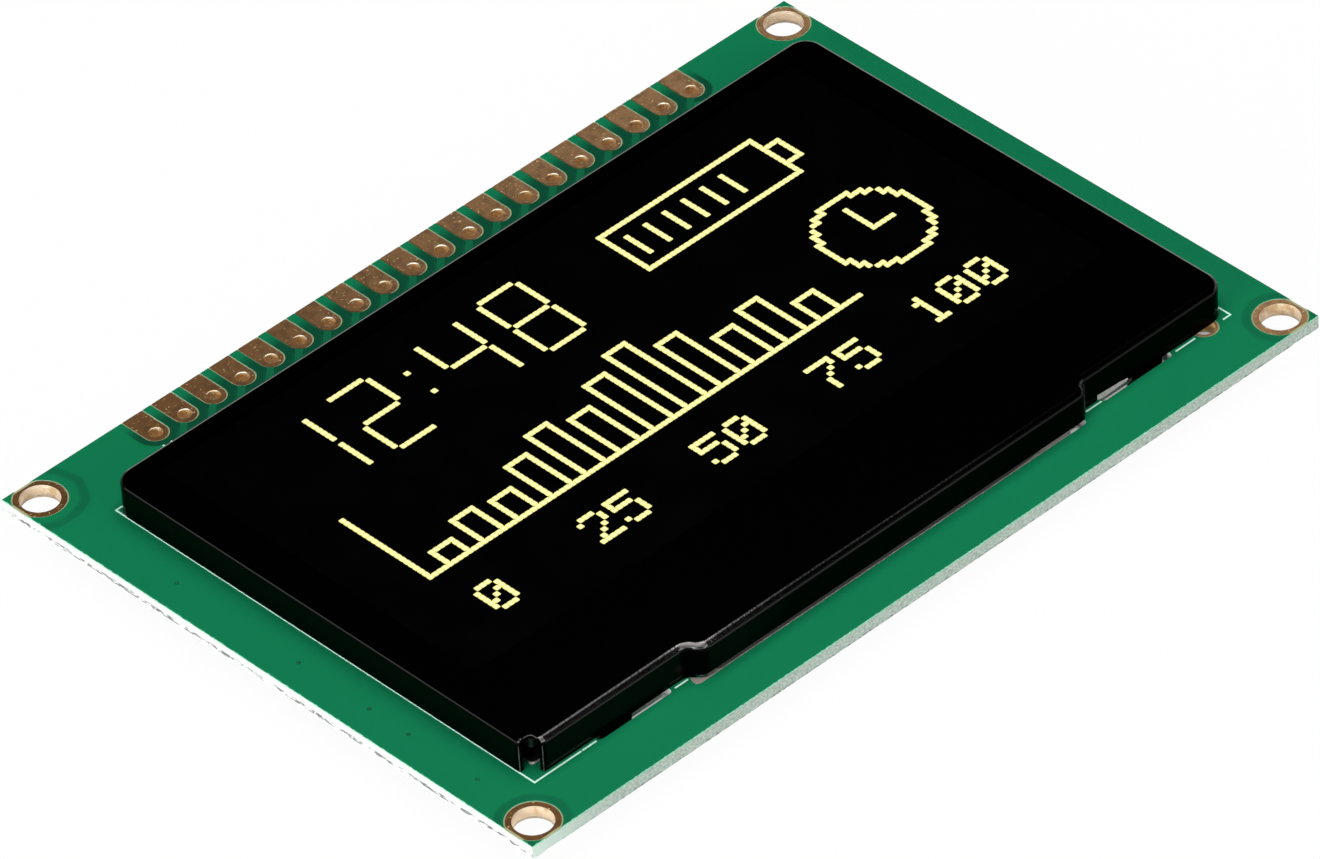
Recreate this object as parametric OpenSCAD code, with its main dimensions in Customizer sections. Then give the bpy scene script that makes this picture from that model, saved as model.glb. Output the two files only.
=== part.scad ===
// Graphic display module: a sealed glass panel held on a green circuit board by a folded metal bezel,
// with its drive circuit on the board's rear face.
// Origin at the centre of the board's rear face, +X along the header row, +Y towards the header,
// +Z out of the lit face. Millimetres.

/* [Display panel] */
// Width of the panel's glass
glass_w = 60.5; // [59:0.5:68]
// Depth of the front glass, from its header side to its flex side
glass_d = 37; // [34:0.5:44]
// Corner radius of the panel's glass
glass_corner_r = 0.3; // [0.1:0.1:0.8]
// Thickness of the front glass, which carries the pixels
front_glass_t = 0.7; // [0.5:0.1:1.1]
// Thickness of the rear glass, which seals the pixels
rear_glass_t = 1.2; // [0.9:0.1:1.6]
// Depth of the ledge that the rear glass leaves bare at the flex side
ledge_d = 4; // [3.6:0.2:5]
// Thickness of the polarizing film
film_t = 0.2; // [0.1:0.05:0.3]
// Thickness of the tape between the panel and the board
tape_t = 0.2; // [0.1:0.05:0.4]
// Length of the controller chip on the ledge
chip_l = 11; // [8:0.5:16]
// Depth of the controller chip
chip_d = 1.2; // [0.8:0.1:1.4]
// Thickness of the controller chip
chip_t = 0.4; // [0.3:0.05:0.6]
// Gap between the rear glass and the controller chip
chip_gap = 0.5; // [0.3:0.1:0.8]

/* [Bezel] */
// Thickness of the bezel's sheet
sheet_t = 0.3; // [0.2:0.05:0.4]
// Inside radius of the bezel's folds
fold_in_r = 0.15; // [0.1:0.05:0.3]
// Gap between the glass and the bezel's walls
panel_gap = 0.7; // [0.4:0.1:1.2]
// Plan radius left inside the fold at the bezel's corners
corner_in_r = 1.05; // [0.6:0.05:2]
// Glass that the bezel covers at the header side of the window
cover_back = 0.55; // [0.5:0.05:2]
// Glass that the bezel covers at the flex side of the window
cover_front = 6.95; // [5:0.05:9]
// Glass that the bezel covers at each short side of the window
cover_side = 1.75; // [1:0.05:4]
// Corner radius of the window
window_corner_r = 0.4; // [0.2:0.1:1]
// Film that lies under the bezel round the window
film_lap = 0.35; // [0.2:0.05:0.45]
// How far the front wall bulges out over the flex tail
bulge_depth = 1; // [0.7:0.1:1.4]
// Length of wall, at each end of the bulge, over which it steps out
bulge_run = 1.6; // [1.4:0.1:2.4]
// Room at each side of the flex tail inside the bulge
bulge_room = 0.4; // [0.2:0.05:1]
// Gap under the bulge's wall
bulge_lift = 0.25; // [0.1:0.05:0.4]
// Side of the relief cut at the front left corner
relief = 1.1; // [0.7:0.05:1.2]
// Inner corner radius of that relief
relief_r = 0.35; // [0.2:0.05:0.5]

/* [Bezel tabs] */
// Width of a tab
tab_w = 2.5; // [1.5:0.1:3.5]
// Length of a tab's clinched foot
tab_foot = 1.8; // [1:0.1:2.6]
// Length of a tab slot
tab_slot_l = 6.4; // [5:0.1:7]
// Board left between the bulge and the tab slot
tab_slot_gap = 1.1; // [0.8:0.1:2]
// Gap between a tab's side and the outer end of its slot
tab_end_gap = 0.65; // [0.3:0.05:1]
// Gap between a tab's outer face and its slot
tab_room = 0.4; // [0.2:0.05:0.6]
// Gap between the inside of a tab's fold and its slot
fold_room = 0.15; // [0.05:0.05:0.3]

/* [Circuit board] */
// Thickness of the board
board_t = 1; // [0.8:0.1:1.6]
// Board left of the bezel
margin_left = 4.3; // [3.9:0.1:7]
// Board right of the bezel
margin_right = 3.7; // [3.6:0.1:7]
// Board between the bezel and the header edge
margin_back = 5.95; // [5.5:0.05:9]
// Board between the bezel and the flex edge
margin_front = 4.55; // [4:0.05:8]
// Diameter of a fixing hole, inside its plating
hole_d = 2.75; // [2.2:0.05:3]
// Distance from a fixing hole's centre to the board's edges
hole_inset = 1.75; // [1.75:0.05:2]
// Diameter of a fixing hole's copper land
land_d = 3.55; // [3.4:0.05:4]
// Gap between that land and the board's edge
land_edge_gap = 0.2; // [0.1:0.05:0.2]
// Thickness of the copper lands
copper_t = 0.05; // [0.03:0.01:0.08]
// Thickness of the plating in a hole
plating_t = 0.06; // [0.03:0.01:0.08]
// Bare laminate round each copper land
mask_gap = 0.1; // [0.05:0.01:0.15]
// Corner radius of the routed slots
slot_corner_r = 0.3; // [0.1:0.05:0.4]

/* [Header] */
// Number of header pads
pad_count = 20; // [8:1:22]
// Pitch of the header pads
pad_pitch = 2.54; // [2.4:0.02:2.6]
// Shift of the header row from the board's middle
header_x = 0.2; // [-1:0.1:1]
// Width of a header pad
pad_w = 1.65; // [1.4:0.05:1.9]
// Diameter of a pin hole, inside its plating
pin_hole_d = 1; // [0.8:0.05:1.1]
// Distance from the pin holes to the board's back edge
pin_inset = 2.3; // [1.6:0.05:2.6]

/* [Ground hole] */
// Diameter of the plated hole at the bezel's front right corner
ground_d = 1.5; // [1:0.1:1.7]
// Width of its land
ground_land = 0.15; // [0.1:0.05:0.2]
// Its distance from the bezel's right face
ground_side = 2.15; // [2:0.05:3]
// How far its centre lies behind the bezel's front face
ground_back = 0.1; // [-0.2:0.05:0.4]

/* [Flex tail] */
// Width of the flex tail
flex_w = 32.5; // [30:0.5:33]
// Thickness of the flex tail
flex_t = 0.12; // [0.08:0.02:0.2]
// Bend radius at the middle of the tail's thickness
flex_r = 0.5; // [0.4:0.05:0.6]
// Length of tail bonded to the glass ledge
bond_l = 1.5; // [1:0.1:1.8]
// Length of tail that lies on the rear face
flex_rear_l = 9.5; // [8:0.5:12]
// Width of the tail at its soldered end
tail_w = 21.5; // [20:0.5:24]
// Width of the slot for the tail
flex_slot_w = 1.1; // [0.9:0.05:1.3]
// Room for the tail in front of the slot's rear edge
flex_room = 0.25; // [0.15:0.05:0.3]
// Slot in front of the bulge's face
flex_slot_front = 0.1; // [0:0.05:0.3]
// Slot past each end of the bulge
flex_slot_end = 0.5; // [0.2:0.1:0.8]
// Number of soldered contacts
joint_count = 24; // [16:1:26]
// Pitch of the soldered contacts
joint_pitch = 0.85; // [0.7:0.05:0.9]
// Width of a soldered contact
joint_w = 0.45; // [0.3:0.05:0.6]
// Length of a soldered contact
joint_l = 2.4; // [1.8:0.1:3]
// Length of a contact that shows past the tail's end
joint_show = 0.8; // [0.4:0.1:1.2]
// Thickness of the solder between the tail and the board
solder_t = 0.15; // [0.15:0.01:0.2]

/* [Rear parts] */
// Side of the square coil
coil_side = 4; // [3:0.1:5]
// Height of the coil
coil_h = 1.6; // [1.4:0.1:2]
// Length of a reservoir capacitor
reservoir_l = 3.2; // [2.6:0.1:3.6]
// Width of a reservoir capacitor
reservoir_w = 1.6; // [1.2:0.1:2]
// Height of a reservoir capacitor
reservoir_h = 1.6; // [1.4:0.1:2]
// Length of a small chip part
chip_part_l = 1.6; // [1.4:0.1:2]
// Width of a small chip part
chip_part_w = 0.8; // [0.6:0.05:1]
// Height of a bypass capacitor
bypass_h = 0.8; // [0.5:0.05:1]
// Height of a chip resistor
resistor_h = 0.45; // [0.3:0.05:0.6]
// Length of the metal end on a chip part, as a share of its own length
end_share = 0.2; // [0.15:0.01:0.25]
// Pitch of the small chip parts in a row
chip_part_pitch = 2.2; // [2:0.1:2.6]
// Length of a small moulded case
case_l = 2.9; // [2.6:0.1:3.2]
// Width of a small moulded case, without its leads
case_w = 1.6; // [1.4:0.1:1.8]
// Height of a small moulded case above the board
case_h = 1.1; // [0.9:0.05:1.2]
// Width of a lead
lead_w = 0.4; // [0.3:0.05:0.5]
// Thickness of a lead
lead_t = 0.15; // [0.1:0.01:0.2]
// How far a lead's foot reaches past the case
lead_reach = 0.6; // [0.5:0.05:0.8]
// Distance from the panel's sides to the middle of the tall parts
tall_inset = 10.25; // [9:0.25:12]
// Distance from the middle of the rear circuit to its tall parts, along Y
tall_y = 7.5; // [7:0.25:8]

/* [Hidden] */
$fn = 72;
// Cutters run past the faces they cut by this much
past = 1;
// Flat lip that the bezel's folded edge carries, and how far the flat top laps it
lip_w = 0.2;
top_lap = lip_w / 2;
// Height of the tab that is shared with the wall above it
tab_root = 0.3;

fold_out_r = fold_in_r + sheet_t;
corner_r = corner_in_r + fold_out_r;
bend_r = (bulge_run ^ 2 + bulge_depth ^ 2) / (4 * bulge_depth);
bend_angle = 2 * atan(bulge_depth / bulge_run);
top_inset = fold_out_r + lip_w - top_lap;
bulge_half = flex_w / 2 + bulge_room;

bezel_w = glass_w + 2 * (panel_gap + sheet_t);
bezel_d = glass_d + 2 * (panel_gap + sheet_t);
bezel_h = tape_t + rear_glass_t + front_glass_t + film_t + sheet_t;
window_w = glass_w - 2 * cover_side;
window_d = glass_d - cover_back - cover_front;

board_w = bezel_w + margin_left + margin_right;
board_d = bezel_d + margin_front + margin_back;
bezel_x = (margin_left - margin_right) / 2;
bezel_y = (margin_front - margin_back) / 2;
bezel_front_y = bezel_y - bezel_d / 2;
glass_front_y = bezel_y - glass_d / 2;
window_y = bezel_y + (cover_front - cover_back) / 2;

tab_slot_x = bulge_half + bulge_run + tab_slot_gap + tab_slot_l / 2;
tab_x = tab_slot_x + tab_slot_l / 2 - tab_end_gap - tab_w / 2;
tab_slot_w = tab_room + fold_out_r + fold_room;
tab_slot_in = tab_slot_w / 2 - tab_room;

slot_front_y = bezel_front_y - bulge_depth - flex_slot_front;
slot_rear_y = slot_front_y + flex_slot_w;
flex_y = slot_rear_y - flex_room - flex_t / 2;
ledge_z = board_t + tape_t + rear_glass_t;
flex_top_z = ledge_z - flex_t / 2;
flex_rear_z = -solder_t - flex_t / 2;
flex_end_y = flex_y + flex_r + flex_rear_l;
tail_shoulder = (flex_w - tail_w) / 2;

hole_x = board_w / 2 - hole_inset;
hole_y = board_d / 2 - hole_inset;
pin_y = board_d / 2 - pin_inset;
ground_x = bezel_x + bezel_w / 2 - ground_side;
ground_y = bezel_front_y + ground_back;

// Middle of the rear circuit, counted from the end of the flex tail
circuit_to_tail = 12;
circuit_y = flex_end_y + circuit_to_tail;
tall_x = glass_w / 2 - tall_inset;
// Board left between the parts in the row of cases
case_room = 2.5;
case_row_y = circuit_y + tall_y;
converter_x = -tall_x + coil_side / 2 + case_room + case_l / 2;
diode_x = converter_x + case_l + case_room;
regulator_x = tall_x - reservoir_l / 2 - case_room - case_l / 2;
// Gap between the board and the flat underside of a moulded case
case_gap = 0.1;
// Draft on each side of a moulded case
case_draft = 0.12;
// Distance between neighbouring leads of a case
lead_step = 0.95;
three_leads = [-lead_step, 0, lead_step];
outer_leads = [-lead_step, lead_step];
bypass_count = 6;
bypass_y = circuit_y - tall_y;
// The resistors stand in two rows, the first just off the middle of the circuit
resistor_count = 7;
resistor_row_y = -1.5;
resistor_row_step = 4;
resistor_rows = [circuit_y + resistor_row_y, circuit_y + resistor_row_y + resistor_row_step];

// Shared shapes

// Rectangle with rounded corners, centred
module rounded(w, d, r) {
    square([w - 2 * r, d], center = true);
    square([w, d - 2 * r], center = true);
    for (x = [-1, 1], y = [-1, 1])
        translate([x * (w / 2 - r), y * (d / 2 - r)]) circle(r);
}

// Quarter of a ring, in the quadrant that starts at this angle
module quarter_ring(r_in, r_out, start) {
    rotate(start) intersection() {
        difference() {
            circle(r_out);
            circle(r_in);
        }
        square(r_out);
    }
}

// Extrudes a section along X from the origin on: its first axis becomes Y and its second Z
module run_x(length) {
    rotate([90, 0, 90]) linear_extrude(length) children();
}

// The same, centred
module along_x(length) {
    translate([-length / 2, 0, 0]) run_x(length) children();
}

// Turns a part that stands on the board's face upside down, onto the rear face
module on_rear(x, y) {
    translate([x, y, 0]) mirror([0, 0, 1]) children();
}

// Circuit board

module at_corner_holes() {
    for (x = [-1, 1], y = [-1, 1]) translate([x * hole_x, y * hole_y]) children();
}

module at_header_pins() {
    for (i = [0 : pad_count - 1])
        translate([header_x + (i - (pad_count - 1) / 2) * pad_pitch, pin_y]) children();
}

module at_tab_slots() {
    for (side = [-1, 1], x = [-1, 1])
        translate([bezel_x + x * tab_slot_x, bezel_y + side * (bezel_d / 2 - tab_slot_in)]) children();
}

// Land round a pin hole, run out to the board's back edge
module pad_outline(grow) {
    circle(d = pad_w + 2 * grow);
    translate([-pad_w / 2 - grow, 0]) square([pad_w + 2 * grow, pin_inset + (grow > 0 ? past : 0)]);
}

module mask_openings() {
    at_corner_holes() circle(d = land_d + 2 * mask_gap);
    at_header_pins() pad_outline(mask_gap);
    translate([ground_x, ground_y]) circle(d = ground_d + 2 * (ground_land + mask_gap));
}

module drilled_holes() {
    at_corner_holes() circle(d = hole_d + 2 * plating_t);
    at_header_pins() circle(d = pin_hole_d + 2 * plating_t);
    translate([ground_x, ground_y]) circle(d = ground_d + 2 * plating_t);
}

module routed_slots() {
    slot_l = 2 * (bulge_half + flex_slot_end);
    translate([bezel_x, slot_rear_y - flex_slot_w / 2]) rounded(slot_l, flex_slot_w, slot_corner_r);
    at_tab_slots() rounded(tab_slot_l, tab_slot_w, slot_corner_r);
}

module circuit_board() {
    color("seagreen") difference() {
        linear_extrude(board_t) difference() {
            square([board_w, board_d], center = true);
            drilled_holes();
            routed_slots();
        }
        translate([0, 0, board_t - copper_t]) linear_extrude(past) mask_openings();
        translate([0, 0, copper_t - past]) linear_extrude(past) mask_openings();
    }
}

// Plated hole with the same land, given as a 2D child, on both faces of the board
module plated_hole(d) {
    difference() {
        union() {
            cylinder(d = d + 2 * plating_t, h = board_t);
            for (z = [0, board_t - copper_t]) translate([0, 0, z]) linear_extrude(copper_t) children();
        }
        translate([0, 0, -past]) cylinder(d = d, h = board_t + 2 * past);
    }
}

module corner_hole_lands() {
    reach = hole_inset - land_edge_gap;
    color("darkgoldenrod") for (x = [-1, 1], y = [-1, 1])
        translate([x * hole_x, y * hole_y, 0]) plated_hole(hole_d) intersection() {
            circle(d = land_d);
            translate([x * (reach - land_d), y * (reach - land_d)]) square(2 * land_d, center = true);
        }
}

module board_pads() {
    color("peru") at_header_pins() plated_hole(pin_hole_d) pad_outline(0);
}

module ground_hole_lining() {
    color("darkgoldenrod") translate([ground_x, ground_y, 0])
        plated_hole(ground_d) circle(d = ground_d + 2 * ground_land);
}

// Bezel: one sheet, drawn at the corners and along the bulge, folded down into four walls

// Section of the folded edge: wall, fold and the start of the flat top, inwards from the outer face
module edge_section() {
    square([sheet_t, bezel_h - fold_out_r]);
    translate([fold_out_r, bezel_h - fold_out_r]) quarter_ring(fold_in_r, fold_out_r, 90);
    translate([fold_out_r, bezel_h - sheet_t]) square([lip_w, sheet_t]);
}

// Folded edge round a corner that points outwards, from this angle on
module edge_out(r, start, angle) {
    rotate(start) rotate_extrude(angle = angle) translate([r, 0]) mirror([1, 0]) edge_section();
}

// Folded edge round a hollow, centred outside the bezel
module edge_in(r, start, angle) {
    rotate(start) rotate_extrude(angle = angle) translate([r, 0]) edge_section();
}

// One end of the front edge, from a corner to the bulge's face
module front_edge_end() {
    start_x = -bezel_w / 2 + corner_r;
    translate([start_x, 0, 0]) run_x(-bulge_half - bulge_run - start_x) edge_section();
    translate([-bulge_half - bulge_run, -bend_r, 0]) edge_in(bend_r, 90 - bend_angle, bend_angle);
    translate([-bulge_half, bend_r - bulge_depth, 0]) edge_out(bend_r, 270 - bend_angle, bend_angle);
}

// Outline of the bulge's flat top where the fold ends, against the front face of the bezel
module bulge_top() {
    translate([-bulge_half, top_inset - bulge_depth]) square([2 * bulge_half, bulge_depth + bend_r]);
    for (x = [0, 1]) mirror([x, 0]) {
        translate([bulge_half, bend_r - bulge_depth]) circle(bend_r - top_inset);
        difference() {
            polygon([
                [bulge_half + bulge_run, -bend_r],
                [bulge_half + bulge_run, bend_r],
                [bulge_half, bend_r],
                [bulge_half, bend_r - bulge_depth]
            ]);
            translate([bulge_half + bulge_run, -bend_r]) circle(bend_r + top_inset);
        }
    }
}

module bezel_top() {
    linear_extrude(sheet_t) difference() {
        union() {
            rounded(bezel_w - 2 * top_inset, bezel_d - 2 * top_inset, corner_r - top_inset);
            translate([0, -bezel_d / 2]) bulge_top();
        }
        translate([0, window_y - bezel_y]) rounded(window_w, window_d, window_corner_r);
    }
}

// Section of a tab: through the board, folded inwards and flat against the rear face
module tab_section() {
    translate([0, fold_in_r - board_t]) square([sheet_t, board_t - fold_in_r + tab_root]);
    translate([fold_out_r, fold_in_r - board_t]) quarter_ring(fold_in_r, fold_out_r, 180);
    translate([fold_out_r, -board_t - sheet_t]) square([tab_foot, sheet_t]);
}

// Relief at the front left corner, open to the outside
module relief_cut() {
    inner = relief - relief_r;
    translate([-past, -past]) square([past + inner, past + relief]);
    translate([-past, -past]) square([past + relief, past + inner]);
    translate([inner, inner]) circle(relief_r);
}

module bezel_frame() {
    side_l = bezel_d - 2 * corner_r;
    lift_half = bulge_half + bulge_run / 2;
    color([0.09, 0.09, 0.1]) translate([bezel_x, bezel_y, board_t]) difference() {
        union() {
            translate([0, -bezel_d / 2, 0]) for (x = [0, 1]) mirror([x, 0, 0]) front_edge_end();
            translate([0, -bezel_d / 2 - bulge_depth, 0]) along_x(2 * bulge_half) edge_section();
            rotate(180) translate([0, -bezel_d / 2, 0]) along_x(bezel_w - 2 * corner_r) edge_section();
            for (a = [90, -90]) rotate(a) translate([0, -bezel_w / 2, 0]) along_x(side_l) edge_section();
            for (x = [-1, 1], y = [-1, 1])
                translate([x * (bezel_w / 2 - corner_r), y * (bezel_d / 2 - corner_r), 0])
                    edge_out(corner_r, y > 0 ? 45 - x * 45 : 225 + x * 45, 90);
            translate([0, 0, bezel_h - sheet_t]) bezel_top();
            for (turn = [0, 180], x = [-1, 1])
                rotate(turn) translate([x * tab_x, -bezel_d / 2, 0]) along_x(tab_w) tab_section();
        }
        translate([-bezel_w / 2, -bezel_d / 2, -past]) linear_extrude(bezel_h + 2 * past) relief_cut();
        translate([-lift_half, -bezel_d / 2 - bulge_depth - past, -past])
            cube([2 * lift_half, bulge_depth + past + fold_out_r, past + bulge_lift]);
    }
}

// Panel

module at_panel(z) {
    translate([bezel_x, bezel_y, z]) children();
}

module polarizer() {
    film_w = window_w + 2 * film_lap;
    film_d = window_d + 2 * film_lap;
    color([0.05, 0.05, 0.06]) translate([bezel_x, window_y, ledge_z + front_glass_t])
        linear_extrude(film_t) rounded(film_w, film_d, window_corner_r);
}

module front_glass() {
    color([0.2, 0.22, 0.22]) at_panel(ledge_z)
        linear_extrude(front_glass_t) rounded(glass_w, glass_d, glass_corner_r);
}

module rear_glass() {
    color([0.3, 0.33, 0.33]) at_panel(ledge_z - rear_glass_t) translate([0, ledge_d / 2, 0])
        linear_extrude(rear_glass_t) rounded(glass_w, glass_d - ledge_d, glass_corner_r);
}

module panel_tape() {
    color("whitesmoke") at_panel(board_t)
        linear_extrude(tape_t) rounded(glass_w, glass_d, glass_corner_r);
}

module driver_chip() {
    color("dimgray") translate([bezel_x, glass_front_y + ledge_d - chip_gap - chip_d / 2, ledge_z - chip_t])
        linear_extrude(chip_t) square([chip_l, chip_d], center = true);
}

// Flex tail

// Side view of the tail: bonded to the ledge, down through the slot and back along the rear face
module flex_section() {
    half_t = flex_t / 2;
    bend_y = flex_y + flex_r;
    upper_z = flex_top_z - flex_r;
    lower_z = flex_rear_z + flex_r;
    translate([bend_y, flex_top_z - half_t]) square([glass_front_y + bond_l - bend_y, flex_t]);
    translate([bend_y, upper_z]) quarter_ring(flex_r - half_t, flex_r + half_t, 90);
    translate([flex_y - half_t, lower_z]) square([flex_t, upper_z - lower_z]);
    translate([bend_y, lower_z]) quarter_ring(flex_r - half_t, flex_r + half_t, 180);
    translate([bend_y, flex_rear_z - half_t]) square([flex_rear_l, flex_t]);
}

// Plan of the tail, which narrows to its soldered end
module flex_outline() {
    neck_y = flex_end_y - joint_l - tail_shoulder;
    polygon([
        [-flex_w / 2, slot_front_y], [flex_w / 2, slot_front_y],
        [flex_w / 2, neck_y], [tail_w / 2, neck_y + tail_shoulder],
        [tail_w / 2, flex_end_y], [-tail_w / 2, flex_end_y],
        [-tail_w / 2, neck_y + tail_shoulder], [-flex_w / 2, neck_y]
    ]);
}

module flex_tail() {
    color("tan") translate([bezel_x, 0, 0]) intersection() {
        along_x(flex_w) flex_section();
        translate([0, 0, flex_rear_z - past]) linear_extrude(ledge_z - flex_rear_z + past) flex_outline();
    }
}

module flex_joints() {
    color("silver") for (i = [0 : joint_count - 1])
        translate([bezel_x + (i - (joint_count - 1) / 2) * joint_pitch, flex_end_y + joint_show - joint_l / 2, 0])
            translate([-joint_w / 2, -joint_l / 2, -solder_t]) cube([joint_w, joint_l, solder_t]);
}

// Rear circuit

// Middle of a chip part, between its metal ends
module chip_body(l, w, h) {
    body_l = l * (1 - 2 * end_share);
    translate([-body_l / 2, -w / 2, 0]) cube([body_l, w, h]);
}

// The two metal ends of a chip part
module chip_ends(l, w, h) {
    for (x = [-l / 2, l / 2 - l * end_share]) translate([x, -w / 2, 0]) cube([l * end_share, w, h]);
}

// Moulded case with draft on all four sides, standing just over the board
module moulded_case() {
    side_w = case_w - 2 * case_draft;
    side_l = case_l - 2 * case_draft;
    height = case_h - case_gap;
    waist = case_gap + height / 2;
    intersection() {
        along_x(case_l) polygon([
            [-side_w / 2, case_gap], [side_w / 2, case_gap], [case_w / 2, waist],
            [side_w / 2, case_h], [-side_w / 2, case_h], [-case_w / 2, waist]
        ]);
        rotate(90) along_x(case_w) polygon([
            [-side_l / 2, case_gap], [side_l / 2, case_gap], [case_l / 2, waist],
            [side_l / 2, case_h], [-side_l / 2, case_h], [-case_l / 2, waist]
        ]);
    }
}

// Bent lead from the waist of a case's long side down to the board, along +Y
module bent_lead() {
    waist = (case_gap + case_h) / 2;
    knee = lead_reach / 2;
    along_x(lead_w) polygon([
        [0, waist - lead_t / 2], [knee - lead_t, waist - lead_t / 2], [knee - lead_t, 0], [lead_reach, 0],
        [lead_reach, lead_t], [knee, lead_t], [knee, waist + lead_t / 2], [0, waist + lead_t / 2]
    ]);
}

// Leads at the given places along a case's two long sides
module case_leads(front, rear) {
    for (x = rear) translate([x, case_w / 2, 0]) bent_lead();
    for (x = front) translate([x, -case_w / 2, 0]) rotate(180) bent_lead();
}

module inductor_core() {
    chamfer = coil_side / 8;
    half = coil_side / 2;
    groove_w = 0.15;
    groove_depth = 0.2;
    foot_t = lead_t;
    color([0.25, 0.25, 0.27]) on_rear(-tall_x, case_row_y) translate([0, 0, foot_t]) difference() {
        linear_extrude(coil_h - foot_t) polygon([
            [-half, chamfer - half], [chamfer - half, -half], [half - chamfer, -half], [half, chamfer - half],
            [half, half - chamfer], [half - chamfer, half], [chamfer - half, half], [-half, half - chamfer]
        ]);
        translate([0, 0, coil_h - foot_t - groove_depth]) difference() {
            cylinder(r = half - chamfer, h = past);
            translate([0, 0, -past]) cylinder(r = half - chamfer - groove_w, h = 3 * past);
        }
    }
}

module inductor_terminals() {
    strip = coil_side / 4;
    long = coil_side * 3 / 4;
    color("silver") on_rear(-tall_x, case_row_y) for (x = [-coil_side / 2, coil_side / 2 - strip])
        translate([x, -long / 2, 0]) cube([strip, long, lead_t]);
}

module converter_body() {
    color([0.12, 0.12, 0.13]) on_rear(converter_x, case_row_y) moulded_case();
}

module converter_leads() {
    color("silver") on_rear(converter_x, case_row_y) case_leads(three_leads, three_leads);
}

module diode_body() {
    color([0.12, 0.12, 0.13]) on_rear(diode_x, case_row_y) rotate(90) moulded_case();
}

module diode_leads() {
    color("silver") on_rear(diode_x, case_row_y) rotate(90) case_leads([0], [0]);
}

module regulator_body() {
    color([0.12, 0.12, 0.13]) on_rear(regulator_x, case_row_y) moulded_case();
}

module regulator_leads() {
    color("silver") on_rear(regulator_x, case_row_y) case_leads(outer_leads, [0]);
}

// Three of the four corners of the rear circuit; the coil stands at the fourth
module at_reservoirs() {
    for (p = [[1, 1], [-1, -1], [1, -1]]) on_rear(p.x * tall_x, circuit_y + p.y * tall_y) children();
}

module at_bypass_row() {
    for (i = [0 : bypass_count - 1])
        on_rear((i - (bypass_count - 1) / 2) * chip_part_pitch, bypass_y) rotate(90) children();
}

module at_resistor_rows() {
    for (y = resistor_rows, i = [0 : resistor_count - 1])
        on_rear((i - (resistor_count - 1) / 2) * chip_part_pitch, y) rotate(90) children();
}

module reservoir_bodies() {
    color("burlywood") at_reservoirs() chip_body(reservoir_l, reservoir_w, reservoir_h);
}

module reservoir_ends() {
    color("silver") at_reservoirs() chip_ends(reservoir_l, reservoir_w, reservoir_h);
}

module bypass_bodies() {
    color("burlywood") at_bypass_row() chip_body(chip_part_l, chip_part_w, bypass_h);
}

module bypass_ends() {
    color("silver") at_bypass_row() chip_ends(chip_part_l, chip_part_w, bypass_h);
}

module resistor_bodies() {
    color([0.1, 0.1, 0.12]) at_resistor_rows() chip_body(chip_part_l, chip_part_w, resistor_h);
}

module resistor_ends() {
    color("silver") at_resistor_rows() chip_ends(chip_part_l, chip_part_w, resistor_h);
}

circuit_board();
corner_hole_lands();
board_pads();
ground_hole_lining();
bezel_frame();
polarizer();
front_glass();
rear_glass();
panel_tape();
driver_chip();
flex_tail();
flex_joints();
inductor_core();
inductor_terminals();
converter_body();
converter_leads();
diode_body();
diode_leads();
regulator_body();
regulator_leads();
reservoir_bodies();
reservoir_ends();
bypass_bodies();
bypass_ends();
resistor_bodies();
resistor_ends();
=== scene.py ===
"""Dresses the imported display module: finishes for its solids, printed and lit detail, studio and camera."""

from __future__ import annotations

import functools
import logging
import math
from collections.abc import Callable, Iterable, Sequence
from dataclasses import dataclass, field
from enum import Enum
from typing import Any, ClassVar

import bmesh
import bpy
from mathutils import Matrix, Vector

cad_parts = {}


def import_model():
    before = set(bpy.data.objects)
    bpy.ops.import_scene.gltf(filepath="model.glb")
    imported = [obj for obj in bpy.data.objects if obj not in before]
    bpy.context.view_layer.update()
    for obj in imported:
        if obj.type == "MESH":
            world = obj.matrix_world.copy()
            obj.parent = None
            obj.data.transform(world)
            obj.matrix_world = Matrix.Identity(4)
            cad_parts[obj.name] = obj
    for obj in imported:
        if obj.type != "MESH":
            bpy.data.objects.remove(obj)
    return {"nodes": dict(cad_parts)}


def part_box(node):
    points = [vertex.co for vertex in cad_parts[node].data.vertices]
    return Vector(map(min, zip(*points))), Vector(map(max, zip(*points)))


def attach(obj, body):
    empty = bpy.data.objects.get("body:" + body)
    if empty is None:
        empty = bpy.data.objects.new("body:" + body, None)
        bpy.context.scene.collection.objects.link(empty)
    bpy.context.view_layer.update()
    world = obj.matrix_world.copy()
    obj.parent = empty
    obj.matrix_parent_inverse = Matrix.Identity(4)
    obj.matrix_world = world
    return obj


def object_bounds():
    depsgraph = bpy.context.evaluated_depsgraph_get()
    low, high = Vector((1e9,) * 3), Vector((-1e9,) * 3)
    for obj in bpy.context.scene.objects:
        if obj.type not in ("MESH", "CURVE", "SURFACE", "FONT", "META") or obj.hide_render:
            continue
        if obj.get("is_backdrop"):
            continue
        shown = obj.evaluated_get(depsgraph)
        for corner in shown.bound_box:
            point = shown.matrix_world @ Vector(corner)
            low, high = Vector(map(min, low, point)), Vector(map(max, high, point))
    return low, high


LOG = logging.getLogger("display_module")
MM = 0.001
BODY = "root"
PHOTO_WIDTH_PX = 1320

Cells = set[tuple[int, int]]
Colour = tuple[float, float, float]
Material = bpy.types.Material
Point = tuple[float, float]
Socket = bpy.types.NodeSocket


class Slot(Enum):
    """The record's material slots, passed along with each new piece."""

    MASK = "solder_mask"
    SHEET = "black_sheet"
    FILM = "polarizing_film"
    FLEX = "flex_film"
    SOLDER = "solder"


def tinted(colour: Colour, factor: float) -> Colour:
    """A colour times a factor."""
    return tuple(part * factor for part in colour)


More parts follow.
